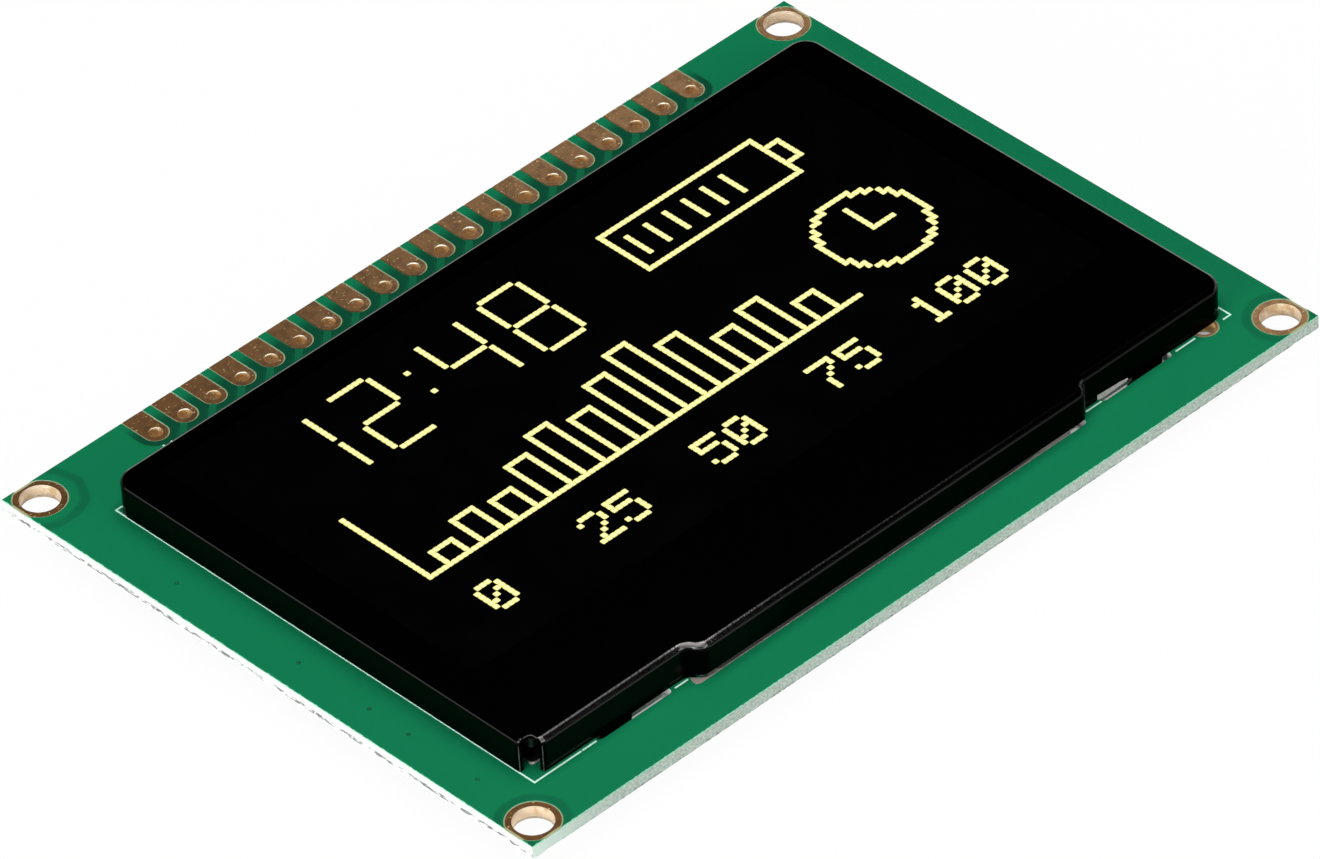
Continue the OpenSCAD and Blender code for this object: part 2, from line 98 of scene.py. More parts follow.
class Wiring:
    """A node tree, with short calls for the nodes that the finishes and the studio use."""

    # Sockets of the Mix node when it mixes colours.
    MIX_COLOUR_A = 6
    MIX_COLOUR_B = 7
    MIX_COLOUR_OUT = 2

    def __init__(self, tree: bpy.types.NodeTree) -> None:
        """Takes over a tree and empties it."""
        self.tree = tree
        tree.nodes.clear()

    def node(self, kind: str, given: dict[int | str, Any] | None = None, **settings: Any) -> bpy.types.Node:
        """Adds a node.

        Args:
            kind: The node's type, without the words that all of them start with.
            given: Values and sockets for its inputs, by number or name.
            settings: Properties of the node to set.

        Returns:
            The new node.
        """
        made = self.tree.nodes.new("ShaderNode" + kind)
        for key, value in settings.items():
            setattr(made, key, value)
        for key, value in (given or {}).items():
            self.feed(made.inputs[key], value)
        return made

    def feed(self, socket: Socket, value: Any) -> None:
        """Links a socket into an input, or sets a plain value on it.

        Args:
            socket: The input.
            value: A socket to link, or a number, vector or colour.
        """
        if isinstance(value, Socket):
            self.tree.links.new(value, socket)
        elif socket.type == "RGBA":
            socket.default_value = (*value, 1.0)
        else:
            socket.default_value = value

    def split(self, vector: Socket) -> list[Socket]:
        """Splits a vector into its three parts."""
        return self.node("SeparateXYZ", {0: vector}).outputs[:]

    def math(self, operation: str, a: Any, b: Any = 0.0) -> Socket:
        """Plain arithmetic on one or two values."""
        return self.node("Math", {0: a, 1: b}, operation=operation).outputs[0]

    def less(self, a: Any, b: Any) -> Socket:
        """One value less another."""
        return self.math("SUBTRACT", a, b)

    def plus(self, a: Any, b: Any) -> Socket:
        """The sum of two values."""
        return self.math("ADD", a, b)

    def times(self, a: Any, b: Any) -> Socket:
        """The product of two values."""
        return self.math("MULTIPLY", a, b)

    def largest(self, *values: Any) -> Socket:
        """The largest of several values."""
        return functools.reduce(functools.partial(self.math, "MAXIMUM"), values)

    def both(self, *masks: Any) -> Socket:
        """Where all of several masks hold."""
        return functools.reduce(self.times, masks)

    def other(self, mask: Socket) -> Socket:
        """Where a mask doesn't hold."""
        return self.less(1.0, mask)

    def apart(self, a: Any, b: Any = 0.0) -> Socket:
        """How far two values lie apart."""
        return self.math("ABSOLUTE", self.less(a, b))

    def scaled(self, vector: Socket, factor: float) -> Socket:
        """A vector or a colour times a factor."""
        return self.node("VectorMath", {0: vector, "Scale": factor}, operation="SCALE").outputs["Vector"]

    def length(self, x: Socket, y: Socket) -> Socket:
        """Length of a flat offset."""
        offset = self.node("CombineXYZ", {0: x, 1: y}).outputs[0]
        return self.node("VectorMath", {0: offset}, operation="LENGTH").outputs["Value"]

    def fade(self, value: Any, low: float, high: float) -> Socket:
        """Runs smoothly from 0 where the value is low to 1 where it is high."""
        given = {"Value": value, "From Min": low, "From Max": high}
        return self.node("MapRange", given, interpolation_type="SMOOTHSTEP").outputs[0]

    def blend(self, amount: Any, a: Any, b: Any, low: float = 0.0, high: float = 1.0) -> Socket:
        """Runs evenly from one value to another while the amount runs from low to high."""
        given = {"Value": amount, "From Min": low, "From Max": high, "To Min": a, "To Max": b}
        return self.node("MapRange", given).outputs[0]

    def mix(self, amount: Any, a: Any, b: Any) -> Socket:
        """Mixes two colours."""
        given = {0: amount, self.MIX_COLOUR_A: a, self.MIX_COLOUR_B: b}
        return self.node("Mix", given, data_type="RGBA").outputs[self.MIX_COLOUR_OUT]


class Shader(Wiring):
    """A material that ends in one Principled shader, with the places and patterns that the finishes read."""

    # Share of a face's normal along an axis, from where it starts to face that way to where it fully does.
    TURN = (0.4, 0.6)

    def __init__(self, name: str) -> None:
        """Starts the material.

        Args:
            name: The material's name.
        """
        self.material = bpy.data.materials.new(name)
        self.material.use_nodes = True
        super().__init__(self.material.node_tree)
        self.surface = self.node("BsdfPrincipled")
        self.node("OutputMaterial", {"Surface": self.surface.outputs["BSDF"]})

    @functools.cached_property
    def place(self) -> Socket:
        """Object coordinates in millimetres."""
        return self.scaled(self.node("TexCoord").outputs["Object"], 1 / MM)

    @functools.cached_property
    def spot(self) -> list[Socket]:
        """Object coordinates in millimetres, split into their parts."""
        return self.split(self.place)

    @functools.cached_property
    def normal(self) -> list[Socket]:
        """The face's own normal, split into its parts."""
        return self.split(self.node("NewGeometry").outputs["True Normal"])

    @functools.cached_property
    def flat(self) -> Socket:
        """Mask of the faces that look up or down."""
        return self.fade(self.apart(self.normal[2]), *self.TURN)

    def set(self, **values: Any) -> None:
        """Sets inputs of the Principled shader; underscores in a name stand for spaces."""
        for key, value in values.items():
            self.feed(self.surface.inputs[key.replace("_", " ")], value)

    def noise(self, scale: float, detail: float = 3.0, stretch: Colour = (1, 1, 1),
              seed: float = 0.0) -> Socket:
        """Noise in millimetres of object space.

        Args:
            scale: Lumps per millimetre.
            detail: Octaves.
            stretch: Factor on each axis, large where the lumps are short.
            seed: Shift that sets two noises apart.

        Returns:
            The noise, around 0.5.
        """
        moved = self.node("VectorMath", {0: self.place, 1: stretch, 2: (seed,) * 3}, operation="MULTIPLY_ADD")
        given = {"Vector": moved.outputs["Vector"], "Scale": scale, "Detail": detail}
        return self.node("TexNoise", given).outputs["Fac"]

    def wander(self, noise: Socket, amount: float) -> Socket:
        """Noise as a shift to either side, this far from its lowest to its highest."""
        return self.times(self.less(noise, 0.5), amount)

    def bump(self, height: Socket, depth_mm: float, strength: Any = 1.0) -> None:
        """Bumps the surface by a height from 0 to 1 that stands for this depth."""
        given = {"Strength": strength, "Distance": depth_mm * MM, "Height": height}
        self.set(Normal=self.node("Bump", given).outputs["Normal"])


@dataclass(frozen=True)
class BoardPlan:
    """Places on the circuit board that its finish and its print follow, in millimetres."""

    width: float
    depth: float
    thickness: float
    ground: Point
    hole_inset: float = 1.75
    pad_count: int = 20
    pad_pitch: float = 2.54
    pad_width: float = 1.65
    pad_hole_inset: float = 2.3
    header_x: float = 0.2
    mask_gap: float = 0.1

    @classmethod
    def from_frame(cls) -> BoardPlan:
        """Reads the board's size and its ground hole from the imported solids.

        Returns:
            The plan.
        """
        low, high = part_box("circuit_board")
        size = (high - low) / MM
        ground = sum(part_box("ground_hole_lining"), Vector()) / 2 / MM
        return cls(width=size.x, depth=size.y, thickness=size.z, ground=(ground.x, ground.y))

    @property
    def hole_x(self) -> float:
        """Distance of the corner holes from the middle, along the header."""
        return self.width / 2 - self.hole_inset

    @property
    def hole_y(self) -> float:
        """Distance of the corner holes from the middle, across the header."""
        return self.depth / 2 - self.hole_inset

    @property
    def pin_y(self) -> float:
        """Line of the header holes."""
        return self.depth / 2 - self.pad_hole_inset

    def pin_x(self, index: int) -> float:
        """Place of one header hole along the row."""
        return self.header_x + (index - (self.pad_count - 1) / 2) * self.pad_pitch

    def from_corner(self, s: Shader) -> tuple[Socket, Socket]:
        """Offset of a point from the nearest corner hole, positive outwards."""
        x, y, _ = s.spot
        return s.less(s.apart(x), self.hole_x), s.less(s.apart(y), self.hole_y)

    def from_ground(self, s: Shader) -> tuple[Socket, Socket]:
        """Offset of a point from the ground hole."""
        x, y, _ = s.spot
        return s.less(x, self.ground[0]), s.less(y, self.ground[1])

    def from_pin(self, s: Shader) -> tuple[Socket, Socket]:
        """Offset of a point from the nearest header hole.

        Args:
            s: The shader that asks.

        Returns:
            The distance along the row, and how far the point lies in front of the row.
        """
        x, y, _ = s.spot
        first, last = self.pin_x(0), self.pin_x(self.pad_count - 1)
        past_row = s.less(s.apart(x, (first + last) / 2), (last - first) / 2)
        return s.largest(s.apart(self.beside_pin(s)), past_row), s.less(self.pin_y, y)

    def beside_pin(self, s: Shader) -> Socket:
        """Offset of a point along the row from the line of the nearest header hole."""
        turns = s.math("DIVIDE", s.less(s.spot[0], self.pin_x(0)), self.pad_pitch)
        return s.times(s.less(s.math("FRACT", s.plus(turns, 0.5)), 0.5), self.pad_pitch)


@dataclass(frozen=True)
class MaskFinish:
    """Green mask over copper, darker over its gaps and in painted shade round three corner holes, with bare
    laminate in the openings and on the edges, and painted light along the front and left edges.
    """

    plan: BoardPlan
    name: str = "board_mask"
    over_copper: Colour = (0.0045, 0.180, 0.074)
    copper_tones: Point = (0.95, 1.05)
    over_gap: Colour = (0.0025, 0.070, 0.033)
    skin: Point = (0.03, 0.02)
    roughness: Point = (0.85, 0.40)
    specular: float = 0.06
    bare: Colour = (0.40, 0.40, 0.23)
    bare_shade: Colour = (0.10, 0.11, 0.045)
    bare_shade_from: Point = (-19.0, -10.0)
    pad_front: Point = (1.2, 1.0)
    left_of_pin: Point = (-0.2, -0.3)
    # Pale mask colour of the chips, also a painted highlight along the top rim of the front and left edges.
    rim: Colour = (0.26, 0.72, 0.48)
    rim_highlight_share: float = 0.7
    run_over: float = 0.16
    run_over_wander: float = 0.25
    chip_reach: float = 0.07
    chip_wander: float = 0.22
    sawn_pale: Colour = (0.56, 0.65, 0.58)
    sawn_dark: Colour = (0.34, 0.43, 0.37)
    # Painted light: the front and back edges grow paler towards the left end.
    sawn_corner_light: Colour = (0.70, 0.86, 0.77)
    corner_light_reach: float = 10.0
    corner_light_wander: float = 4.0
    speck_shade: float = 0.45
    speck_height: Point = (0.22, 0.05)
    routed_pale: Colour = (0.75, 0.77, 0.75)
    routed_dark: Colour = (0.20, 0.20, 0.205)
    torn_from: Point = (0.10, 0.20)
    torn_to: Point = (0.52, 0.36)
    # The ring round the corner holes is painted shade.
    ring_in: Point = (1.7, 2.1)
    ring_out: Point = (2.7, 2.4)
    ring_wander: float = 0.5
    ring_strength: Point = (0.15, 0.66)
    back_left_shift: float = 0.65
    pad_gap_in: Point = (0.03, 0.13)
    pad_gap_out: Point = (0.64, 0.56)
    pad_gap_fade: Point = (0.3, 2.0)
    strip_in: Point = (-0.3, 0.3)
    strip_out: Point = (3.7, 3.5)
    strip_left: Point = (0.9, 1.1)
    strip_right: Point = (0.1, -0.1)
    strip_share: float = 0.82

    def build(self) -> Material:
        """Makes the board's material.

        Returns:
            The material.
        """
        s = Shader(self.name)
        middle = self.plan.thickness / 2
        skin = s.fade(s.apart(s.spot[2], middle), *(middle - depth for depth in self.skin))
        copper = s.mix(s.noise(0.12, 4.0), *(tinted(self.over_copper, tone) for tone in self.copper_tones))
        # Painted shade round the corner holes takes the darker gap colour.
        gaps = s.largest(self._ring_shade(s), self._pad_gaps(s))
        # Chips and a painted highlight take the pale rim colour along the front and left edges.
        mask = s.mix(self._chips_and_rim_highlight(s), s.mix(gaps, copper, self.over_gap), self.rim)
        face = s.mix(skin, self._bare(s), mask)
        grain = s.noise(4.5, 5.0, stretch=(1.0, 1.0, 1.6), seed=3.0)
        s.set(Base_Color=s.mix(s.flat, self._edge(s, grain), face), Specular_IOR_Level=self.specular)
        s.set(Roughness=s.blend(s.both(s.flat, skin), *self.roughness))
        weave = s.noise(14.0, 2.0, seed=5.0)
        s.bump(s.mix(s.flat, grain, weave), depth_mm=0.02, strength=0.2)
        return s.material

    def _bare(self, s: Shader) -> Socket:
        """Bare laminate in the openings, in shade on the left of the header pads further along the row.

        Args:
            s: The board's shader.

        Returns:
            The laminate's colour.
        """
        x, y, _ = s.spot
        in_row = s.fade(y, *(self.plan.pin_y - reach for reach in self.pad_front))
        left = s.fade(self.plan.beside_pin(s), *self.left_of_pin)
        return s.mix(s.both(in_row, left, s.fade(x, *self.bare_shade_from)), self.bare, self.bare_shade)

    def _edge(self, s: Shader, grain: Socket) -> Socket:
        """Cut laminate: grey-green with a fine grain at front and back, paler towards the left end as painted
        light, whiter with dark dashes at the sides, with a painted highlight band along the top.

        Args:
            s: The board's shader.
            grain: The grain of the cut.

        Returns:
            The edge's colour.
        """
        x, _, z = s.spot
        sawn = s.mix(s.fade(grain, 0.32, 0.68), self.sawn_dark, self.sawn_pale)
        flecks = s.noise(2.6, 4.0, stretch=(1.0, 1.0, 2.5), seed=11.0)
        specks = s.both(s.fade(z, *self.speck_height), s.fade(flecks, 0.50, 0.62))
        sawn = s.mix(specks, sawn, s.scaled(sawn, self.speck_shade))
        half = self.plan.width / 2
        # Painted light towards the left end of the front and back edges.
        corner_light = s.fade(s.plus(x, s.times(grain, self.corner_light_wander)), self.corner_light_reach - half, -half)
        sawn = s.mix(corner_light, sawn, self.sawn_corner_light)
        dashes = s.noise(2.0, 5.0, stretch=(1.0, 1.1, 3.0), seed=13.0)
        torn = s.both(s.fade(dashes, 0.46, 0.58), s.fade(z, *self.torn_from), s.fade(z, *self.torn_to))
        routed = s.mix(torn, self.routed_pale, self.routed_dark)
        edge = s.mix(s.fade(s.apart(s.normal[0]), *s.TURN), sawn, routed)
        # Painted highlight: a ragged band at the top of the cut edges takes the pale rim colour.
        ragged = s.plus(z, s.wander(grain, self.run_over_wander))
        top = self.plan.thickness
        rim_highlight = s.times(s.fade(ragged, top - self.run_over, top), self.rim_highlight_share)
        return s.mix(rim_highlight, edge, self.rim)

    def _ring_shade(self, s: Shader) -> Socket:
        """Painted shade: a dark ring round three of the corner holes, wider at the back left.

        Args:
            s: The board's shader.

        Returns:
            The rings' mask.
        """
        x, y, _ = s.spot
        back, left = s.fade(y, -1.0, 1.0), s.fade(x, 1.0, -1.0)
        shift = s.times(s.both(back, left), self.back_left_shift)
        radius = s.less(s.length(*self.plan.from_corner(s)), shift)
        radius = s.plus(radius, s.wander(s.noise(0.5, 2.0, seed=7.0), self.ring_wander))
        band = s.both(s.fade(radius, *self.ring_in), s.fade(radius, *self.ring_out))
        strength = s.blend(s.noise(0.35, 1.0, seed=2.0), *self.ring_strength)
        return s.both(band, s.largest(left, s.other(back)), strength)

    def _pad_gaps(self, s: Shader) -> Socket:
        """Dark gap round each header pad, fading towards the board's edge, and the dark strip before the row.

        Args:
            s: The board's shader.

        Returns:
            The gaps' mask.
        """
        plan = self.plan
        x, y, _ = s.spot
        along, before = plan.from_pin(s)
        distance = s.less(s.length(along, s.largest(before, 0.0)), plan.pad_width / 2)
        past = s.fade(distance, *self.pad_gap_in)
        inwards = s.fade(y, *(plan.depth / 2 - reach for reach in self.pad_gap_fade))
        band = s.both(past, s.fade(distance, *self.pad_gap_out), inwards)
        lean = s.less(x, y)
        first, last = (plan.pin_x(index) - plan.pin_y for index in (0, plan.pad_count - 1))
        ends = s.both(s.fade(lean, *(first + shift for shift in self.strip_left)),
                      s.fade(lean, *(last + shift for shift in self.strip_right)))
        strip = s.both(past, s.fade(before, *self.strip_in), s.fade(before, *self.strip_out), ends)
        return s.largest(band, s.times(strip, self.strip_share))

    def _chips_and_rim_highlight(self, s: Shader) -> Socket:
        """Pale chips of the mask along the front and left edges of the board, partly a painted highlight
        along their top rim.

        Args:
            s: The board's shader.

        Returns:
            The mask of the chips and the painted highlight.
        """
        x, y, _ = s.spot
        margin = s.math("MINIMUM", s.plus(x, self.plan.width / 2), s.plus(y, self.plan.depth / 2))
        wander = s.wander(s.noise(3.5, 5.0, seed=9.0), self.chip_wander)
        return s.fade(s.plus(margin, wander), self.chip_reach, 0.0)


@dataclass(frozen=True)
class MetalFinish:
    """Solder or bare steel: a metal whose colour and gloss vary in patches."""

    name: str
    bright: Colour
    dull: Colour
    metallic: float = 1.0
    roughness: Point = (0.25, 0.45)
    patch: float = 1.5
    grain: float = 22.0
    grain_depth: float = 0.006

    def build(self) -> Material:
        """Makes the metal's material.

        Returns:
            The material.
        """
        s = Shader(self.name)
        share = s.fade(s.noise(self.patch, 4.0), 0.35, 0.68)
        s.set(Base_Color=s.mix(share, self.bright, self.dull), Metallic=self.metallic)
        s.set(Roughness=s.blend(share, *self.roughness))
        s.bump(s.noise(self.grain, seed=4.0), self.grain_depth, strength=0.35)
        return s.material


@dataclass(frozen=True)
class PlatingFinish:
    """Thin gold over copper: tarnished and flecked on the lands, with a painted sheen that changes across the
    board, bright on the rounded lips of the holes, with a painted highlight at each lip and painted shade
    deeper in the bore.
    """

    name: str
    plan: BoardPlan
    from_hole: Callable[[Shader], tuple[Socket, Socket]]
    bore: float
    # The wall colour is a painted highlight at the lip, the deep colour painted shade further down the bore.
    wall: Colour
    wall_deep_shade: Colour
    lip: float
    shine: float
    stain: Colour = (0.62, 0.38, 0.15)
    stain_share: float = 0.75
    wall_reach: Point = (0.1, 0.05)
    deep_shade_from: Point = (1.2, 1.8)
    shine_from: Point = (0.0, 0.5)
    # Painted sheen: the lands' colour runs from the left colour to the right colour across the board.
    land_sheen_left: Colour = (0.160, 0.070, 0.018)
    land_sheen_right: Colour = (0.370, 0.205, 0.092)
    tarnish: float = 0.68
    fleck: Colour = (0.80, 0.56, 0.28)
    metallic: Point = (0.06, 0.5)
    roughness: Point = (0.30, 0.46)
    grain: Point = (0.2, 0.02)
    dull_rise: float = 0.8
    shiny_rise: float = 1.7

    def build(self) -> Material:
        """Makes the plating's material.

        Returns:
            The material.
        """
        s = Shader(self.name)
        radius = s.length(*self.from_hole(s))
        inside = s.both(s.other(s.flat), s.fade(radius, *(self.bore + reach for reach in self.wall_reach)))
        middle = self.plan.thickness / 2
        depth = s.less(middle, s.apart(s.spot[2], middle))
        rounded = s.both(inside, s.fade(depth, self.lip, 0.0))
        s.set(Base_Color=s.mix(inside, self._land(s), self._wall(s, depth)))
        s.set(Roughness=s.blend(s.flat, *self.roughness))
        shine = s.times(s.fade(rounded, *self.shine_from), self.shine)
        s.set(Metallic=s.largest(s.blend(s.flat, *self.metallic), shine))
        grain = s.times(s.noise(9.0, seed=4.0), s.blend(s.flat, *self.grain))
        s.bump(s.less(grain, rounded), self.lip * (self.dull_rise + self.shine * self.shiny_rise))
        return s.material

    def _wall(self, s: Shader, depth: Socket) -> Socket:
        """Colour of a hole's wall: pale at the lip as a painted highlight, darker deeper inside as painted
        shade, stained in places, with scattered flecks of the pale colour.

        Args:
            s: The plating's shader.
            depth: Depth below the nearer face of the board.

        Returns:
            The wall's colour.
        """
        # Painted shade deeper in the bore, under a painted highlight at the lip.
        lumps = s.times(s.noise(4.0, seed=8.0), self.lip)
        deep_shade = s.fade(s.plus(depth, lumps), *(self.lip * share for share in self.deep_shade_from))
        stained = s.times(s.fade(s.noise(0.8, 4.0, seed=21.0), 0.48, 0.62), self.stain_share)
        wall = s.mix(stained, s.mix(deep_shade, self.wall, self.wall_deep_shade), self.stain)
        return s.mix(s.fade(s.noise(5.5, seed=23.0), 0.60, 0.66), wall, self.wall)

    def _land(self, s: Shader) -> Socket:
        """Colour of the lands: paler to the right as a painted sheen, darker in patches, with fine flecks of
        clean gold.

        Args:
            s: The plating's shader.

        Returns:
            The lands' colour.
        """
        half = self.plan.width / 2
        # Painted sheen across the board.
        land = s.mix(s.fade(s.spot[0], -half, half), self.land_sheen_left, self.land_sheen_right)
        land = s.mix(s.fade(s.noise(1.6, 4.0), 0.42, 0.68), land, s.scaled(land, self.tarnish))
        fine, broad = s.noise(5.0, 2.0, seed=12.0), s.noise(0.7, 2.0, seed=15.0)
        return s.mix(s.both(s.fade(fine, 0.62, 0.69), s.fade(broad, 0.42, 0.55)), land, self.fleck)


@dataclass(frozen=True)
class SheetFinish:
    """Black coat on the bezel's steel sheet: smooth on flats, grainy on the front fold, with painted
    highlights on its folds and painted shade on its walls.

    The fold is a row of narrow flat faces, so limits on a face's normal choose the faces that take a colour.
    """

    name: str = "bezel_coat"
    coat: Colour = (0.030, 0.029, 0.029)
    # Painted light and shade: the walls take less colour than the top, more towards the left; the darker wall
    # colour is also painted shade on faces kept dark.
    wall_lit_left: Colour = (0.018, 0.018, 0.018)
    wall_shade: Colour = (0.004, 0.004, 0.004)
    # Painted highlight on the front fold's upper faces, bright at the left and fading out to the right.
    fold_highlight_left: Colour = (0.052, 0.050, 0.050)
    fold_highlight_right: Colour = (0.003, 0.003, 0.003)
    # Painted highlight: a faint line on the front fold's lower faces towards the right end.
    fold_end_highlight: Colour = (0.015, 0.015, 0.015)
    fold_end_highlight_from: Point = (5.0, 15.0)
    # Painted highlight, pale pinkish grey, on the S-bend of the front fold and on the fold beside it.
    bend: Colour = (0.150, 0.140, 0.140)
    bend_highlight_from: Point = (-19.5, -17.5)
    bend_highlight_to: Point = (-13.2, -14.4)
    # Painted highlight: a pale line along the back and right folds.
    far_fold_highlight: Colour = (0.20, 0.215, 0.205)
    far_corner_highlight_share: float = 0.3
    # Painted highlight: a fine line along the left fold.
    left_fold_highlight: Colour = (0.045, 0.044, 0.044)
    grazing: Colour = (0.60, 0.60, 0.60)
    # Painted sheen grows towards the left across these reaches.
    sheen_left_reach: Point = (-6.0, -13.0)
    sheen_right_reach: Point = (16.0, 5.0)
    sheen_left_share: float = 0.7
    sheen_drift: float = 3.0
    smooth: float = 0.13
    stretched: float = 0.24
    bent: float = 0.45
    orange_peel: float = 0.018
    peel_strength: Point = (0.15, 1.0)

    def build(self) -> Material:
        """Makes the bezel's material.

        Returns:
            The material.
        """
        s = Shader(self.name)
        normal_x, normal_y, normal_z = s.normal
        front = s.fade(normal_y, -0.05, -0.2)
        fold = s.both(front, s.fade(normal_z, 0.3, 0.5))
        turned = s.both(front, s.fade(normal_x, -0.02, -0.1))
        bend = s.both(fold, turned, s.fade(normal_z, 0.45, 0.6))
        # Painted sheen: walls and the front fold's upper faces grow lighter towards the left.
        drift = s.plus(s.spot[0], s.times(s.noise(0.6, 5.0), self.sheen_drift))
        sheen_left = s.plus(s.times(s.fade(drift, *self.sheen_left_reach), self.sheen_left_share),
                      s.times(s.fade(drift, *self.sheen_right_reach), 1 - self.sheen_left_share))
        wall = s.mix(sheen_left, self.wall_shade, self.wall_lit_left)
        colour = s.mix(s.fade(normal_z, 0.30, 0.18), self.coat, wall)
        # Painted shade: the front fold's middle faces, the S-bend faces that turn left and the left fold's
        # corner and lower faces take the darkest wall colour; one left fold face takes a painted highlight
        # line.
        left_highlight, left_shade = self._left_fold_highlight_and_shade(s)
        painted_shade = s.largest(s.both(fold, s.fade(normal_z, 0.42, 0.5)), turned, left_shade)
        colour = s.mix(painted_shade, s.mix(left_highlight, colour, self.left_fold_highlight), self.wall_shade)
        # Painted highlight line on the lower faces of the front fold, towards the right.
        lower = s.both(front, s.fade(normal_z, 0.18, 0.30), s.fade(normal_z, 0.44, 0.40))
        colour = s.mix(s.both(lower, s.fade(s.spot[0], *self.fold_end_highlight_from)), colour, self.fold_end_highlight)
        # Painted highlight along the front fold's upper faces.
        upper = s.both(fold, s.fade(normal_z, 0.6, 0.75))
        colour = s.mix(upper, colour, s.mix(sheen_left, self.fold_highlight_right, self.fold_highlight_left))
        # Painted highlight on the S-bend and on the fold's upper faces beside it.
        beside_bend_highlight = s.both(upper, s.fade(s.spot[0], *self.bend_highlight_from), s.fade(drift, *self.bend_highlight_to))
        colour = s.mix(bend, s.mix(beside_bend_highlight, colour, self.bend), self.bend)
        # Painted highlight on the back and right folds.
        colour = s.mix(self._far_fold_highlight(s), colour, self.far_fold_highlight)
        s.set(Base_Color=colour, Metallic=1.0, Specular_Tint=self.grazing)
        rough = (s.blend(fold, self.smooth, self.stretched), s.blend(bend, self.smooth, self.bent))
        s.set(Roughness=s.largest(*rough))
        s.bump(s.noise(6.0, 2.0, seed=2.0), self.orange_peel, s.blend(fold, *self.peel_strength))
        return s.material

    @staticmethod
    def _left_fold_highlight_and_shade(s: Shader) -> tuple[Socket, Socket]:
        """Masks of the left fold: the face that takes a painted highlight as a fine line, and the faces
        painted dark as shade.

        Args:
            s: The bezel's shader.

        Returns:
            The mask of the painted line and the mask of the painted shade.
        """
        normal_x, normal_y, normal_z = s.normal
        left = s.both(s.fade(normal_x, -0.05, -0.2), s.fade(normal_y, -0.2, -0.05))
        edge = s.both(left, s.fade(normal_z, 0.42, 0.46), s.fade(normal_z, 0.56, 0.52))
        corner = s.both(left, s.fade(normal_y, 0.03, 0.15))
        under = s.both(left, s.fade(normal_z, 0.44, 0.39), s.fade(normal_z, 0.13, 0.19))
        return edge, s.largest(corner, under)

    def _far_fold_highlight(self, s: Shader) -> Socket:
        """Mask of the painted highlight on the folds at the back and the right, weaker round the front right
        corner.

        Args:
            s: The bezel's shader.

        Returns:
            The mask.
        """
        normal_x, normal_y, normal_z = s.normal
        corner = s.blend(s.fade(normal_y, -0.30, -0.05), self.far_corner_highlight_share, 1.0)
        return s.both(s.fade(s.largest(normal_x, normal_y), 0.2, 0.3), s.fade(normal_z, 0.5, 0.6),
                      s.fade(normal_x, -0.2, -0.05), corner)


@dataclass(frozen=True)
class TapeFinish:
    """Foam tape: dark glue on its flat faces, pale foam on its cut sides."""

    name: str = "foam_tape"
    foam: Colour = (0.36, 0.35, 0.33)
    foam_shade: Colour = (0.24, 0.235, 0.22)
    glue: Colour = (0.006, 0.006, 0.006)
    roughness: Point = (0.7, 0.9)
    specular: float = 0.2

    def build(self) -> Material:
        """Makes the tape's material.

        Returns:
            The material.
        """
        s = Shader(self.name)
        cells = s.noise(5.0, 4.0)
        foam = s.mix(s.fade(cells, 0.35, 0.65), self.foam, self.foam_shade)
        s.set(Base_Color=s.mix(s.flat, foam, self.glue), Specular_IOR_Level=self.specular)
        s.set(Roughness=s.blend(cells, *self.roughness))
        s.bump(cells, depth_mm=0.02, strength=0.4)
        return s.material


@dataclass(frozen=True)
class FlexFinish:
    """Pale cover film over copper tracks that run along the tail, painted near black as shade higher up,
    inside the bezel.
    """

    name: str = "flex_film"
    film: Colour = (0.92, 0.85, 0.80)
    over_track: Colour = (0.50, 0.42, 0.33)
    # Painted shade: near-black colour on the film above a height, inside the bezel.
    shaded: Colour = (0.02, 0.02, 0.02)
    pale_below: float = 0.26
    pale_fade: float = 0.04
    left_end: Point = (-14.6, -16.2)
    right_end: Point = (11.0, 17.2)
    end_rise: float = 0.6
    pitch: float = 0.85
    share: float = 0.55
    track_fade: float = 0.03
    tracks_below: Point = (0.1, 0.0)
    roughness: Point = (0.35, 0.5)
    specular: float = 0.4

    def build(self) -> Material:
        """Makes the tail's material.

        Returns:
            The material.
        """
        s = Shader(self.name)
        x, _, z = s.spot
        off = s.apart(s.math("FRACT", s.math("DIVIDE", x, self.pitch)), 0.5)
        half = self.share / 2
        track = s.fade(off, half + self.track_fade, half - self.track_fade)
        track = s.both(track, s.fade(z, *self.tracks_below))
        # Painted shade: above a height that rises towards the film's ends, the film takes the near-black
        # colour.
        end = s.largest(s.fade(x, *self.left_end), s.fade(x, *self.right_end))
        height = s.less(z, s.times(end, self.end_rise))
        inside = s.fade(height, self.pale_below - self.pale_fade, self.pale_below + self.pale_fade)
        film = s.mix(inside, self.film, self.shaded)
        s.set(Base_Color=s.mix(track, film, self.over_track), Specular_IOR_Level=self.specular)
        s.set(Roughness=s.blend(s.noise(0.6), *self.roughness))
        s.bump(track, depth_mm=0.01, strength=0.5)
        return s.material


@dataclass(frozen=True)
class ResistorFinish:
    """White ceramic with a black glaze on the face that looks away from the board."""

    name: str = "resistor_glaze"
    glaze: Colour = (0.010, 0.010, 0.013)
    ceramic: Colour = (0.72, 0.72, 0.70)
    ceramic_tone: float = 0.85
    roughness: Point = (0.6, 0.25)

    def build(self) -> Material:
        """Makes the resistors' material.

        Returns:
            The material.
        """
        s = Shader(self.name)
        glazed = s.fade(s.normal[2], *(-limit for limit in s.TURN))
        cloud = s.noise(3.0)
        ceramic = s.mix(cloud, self.ceramic, tinted(self.ceramic, self.ceramic_tone))
        s.set(Base_Color=s.mix(glazed, ceramic, self.glaze), Roughness=s.blend(glazed, *self.roughness))
        s.bump(cloud, depth_mm=0.006, strength=0.3)
        return s.material


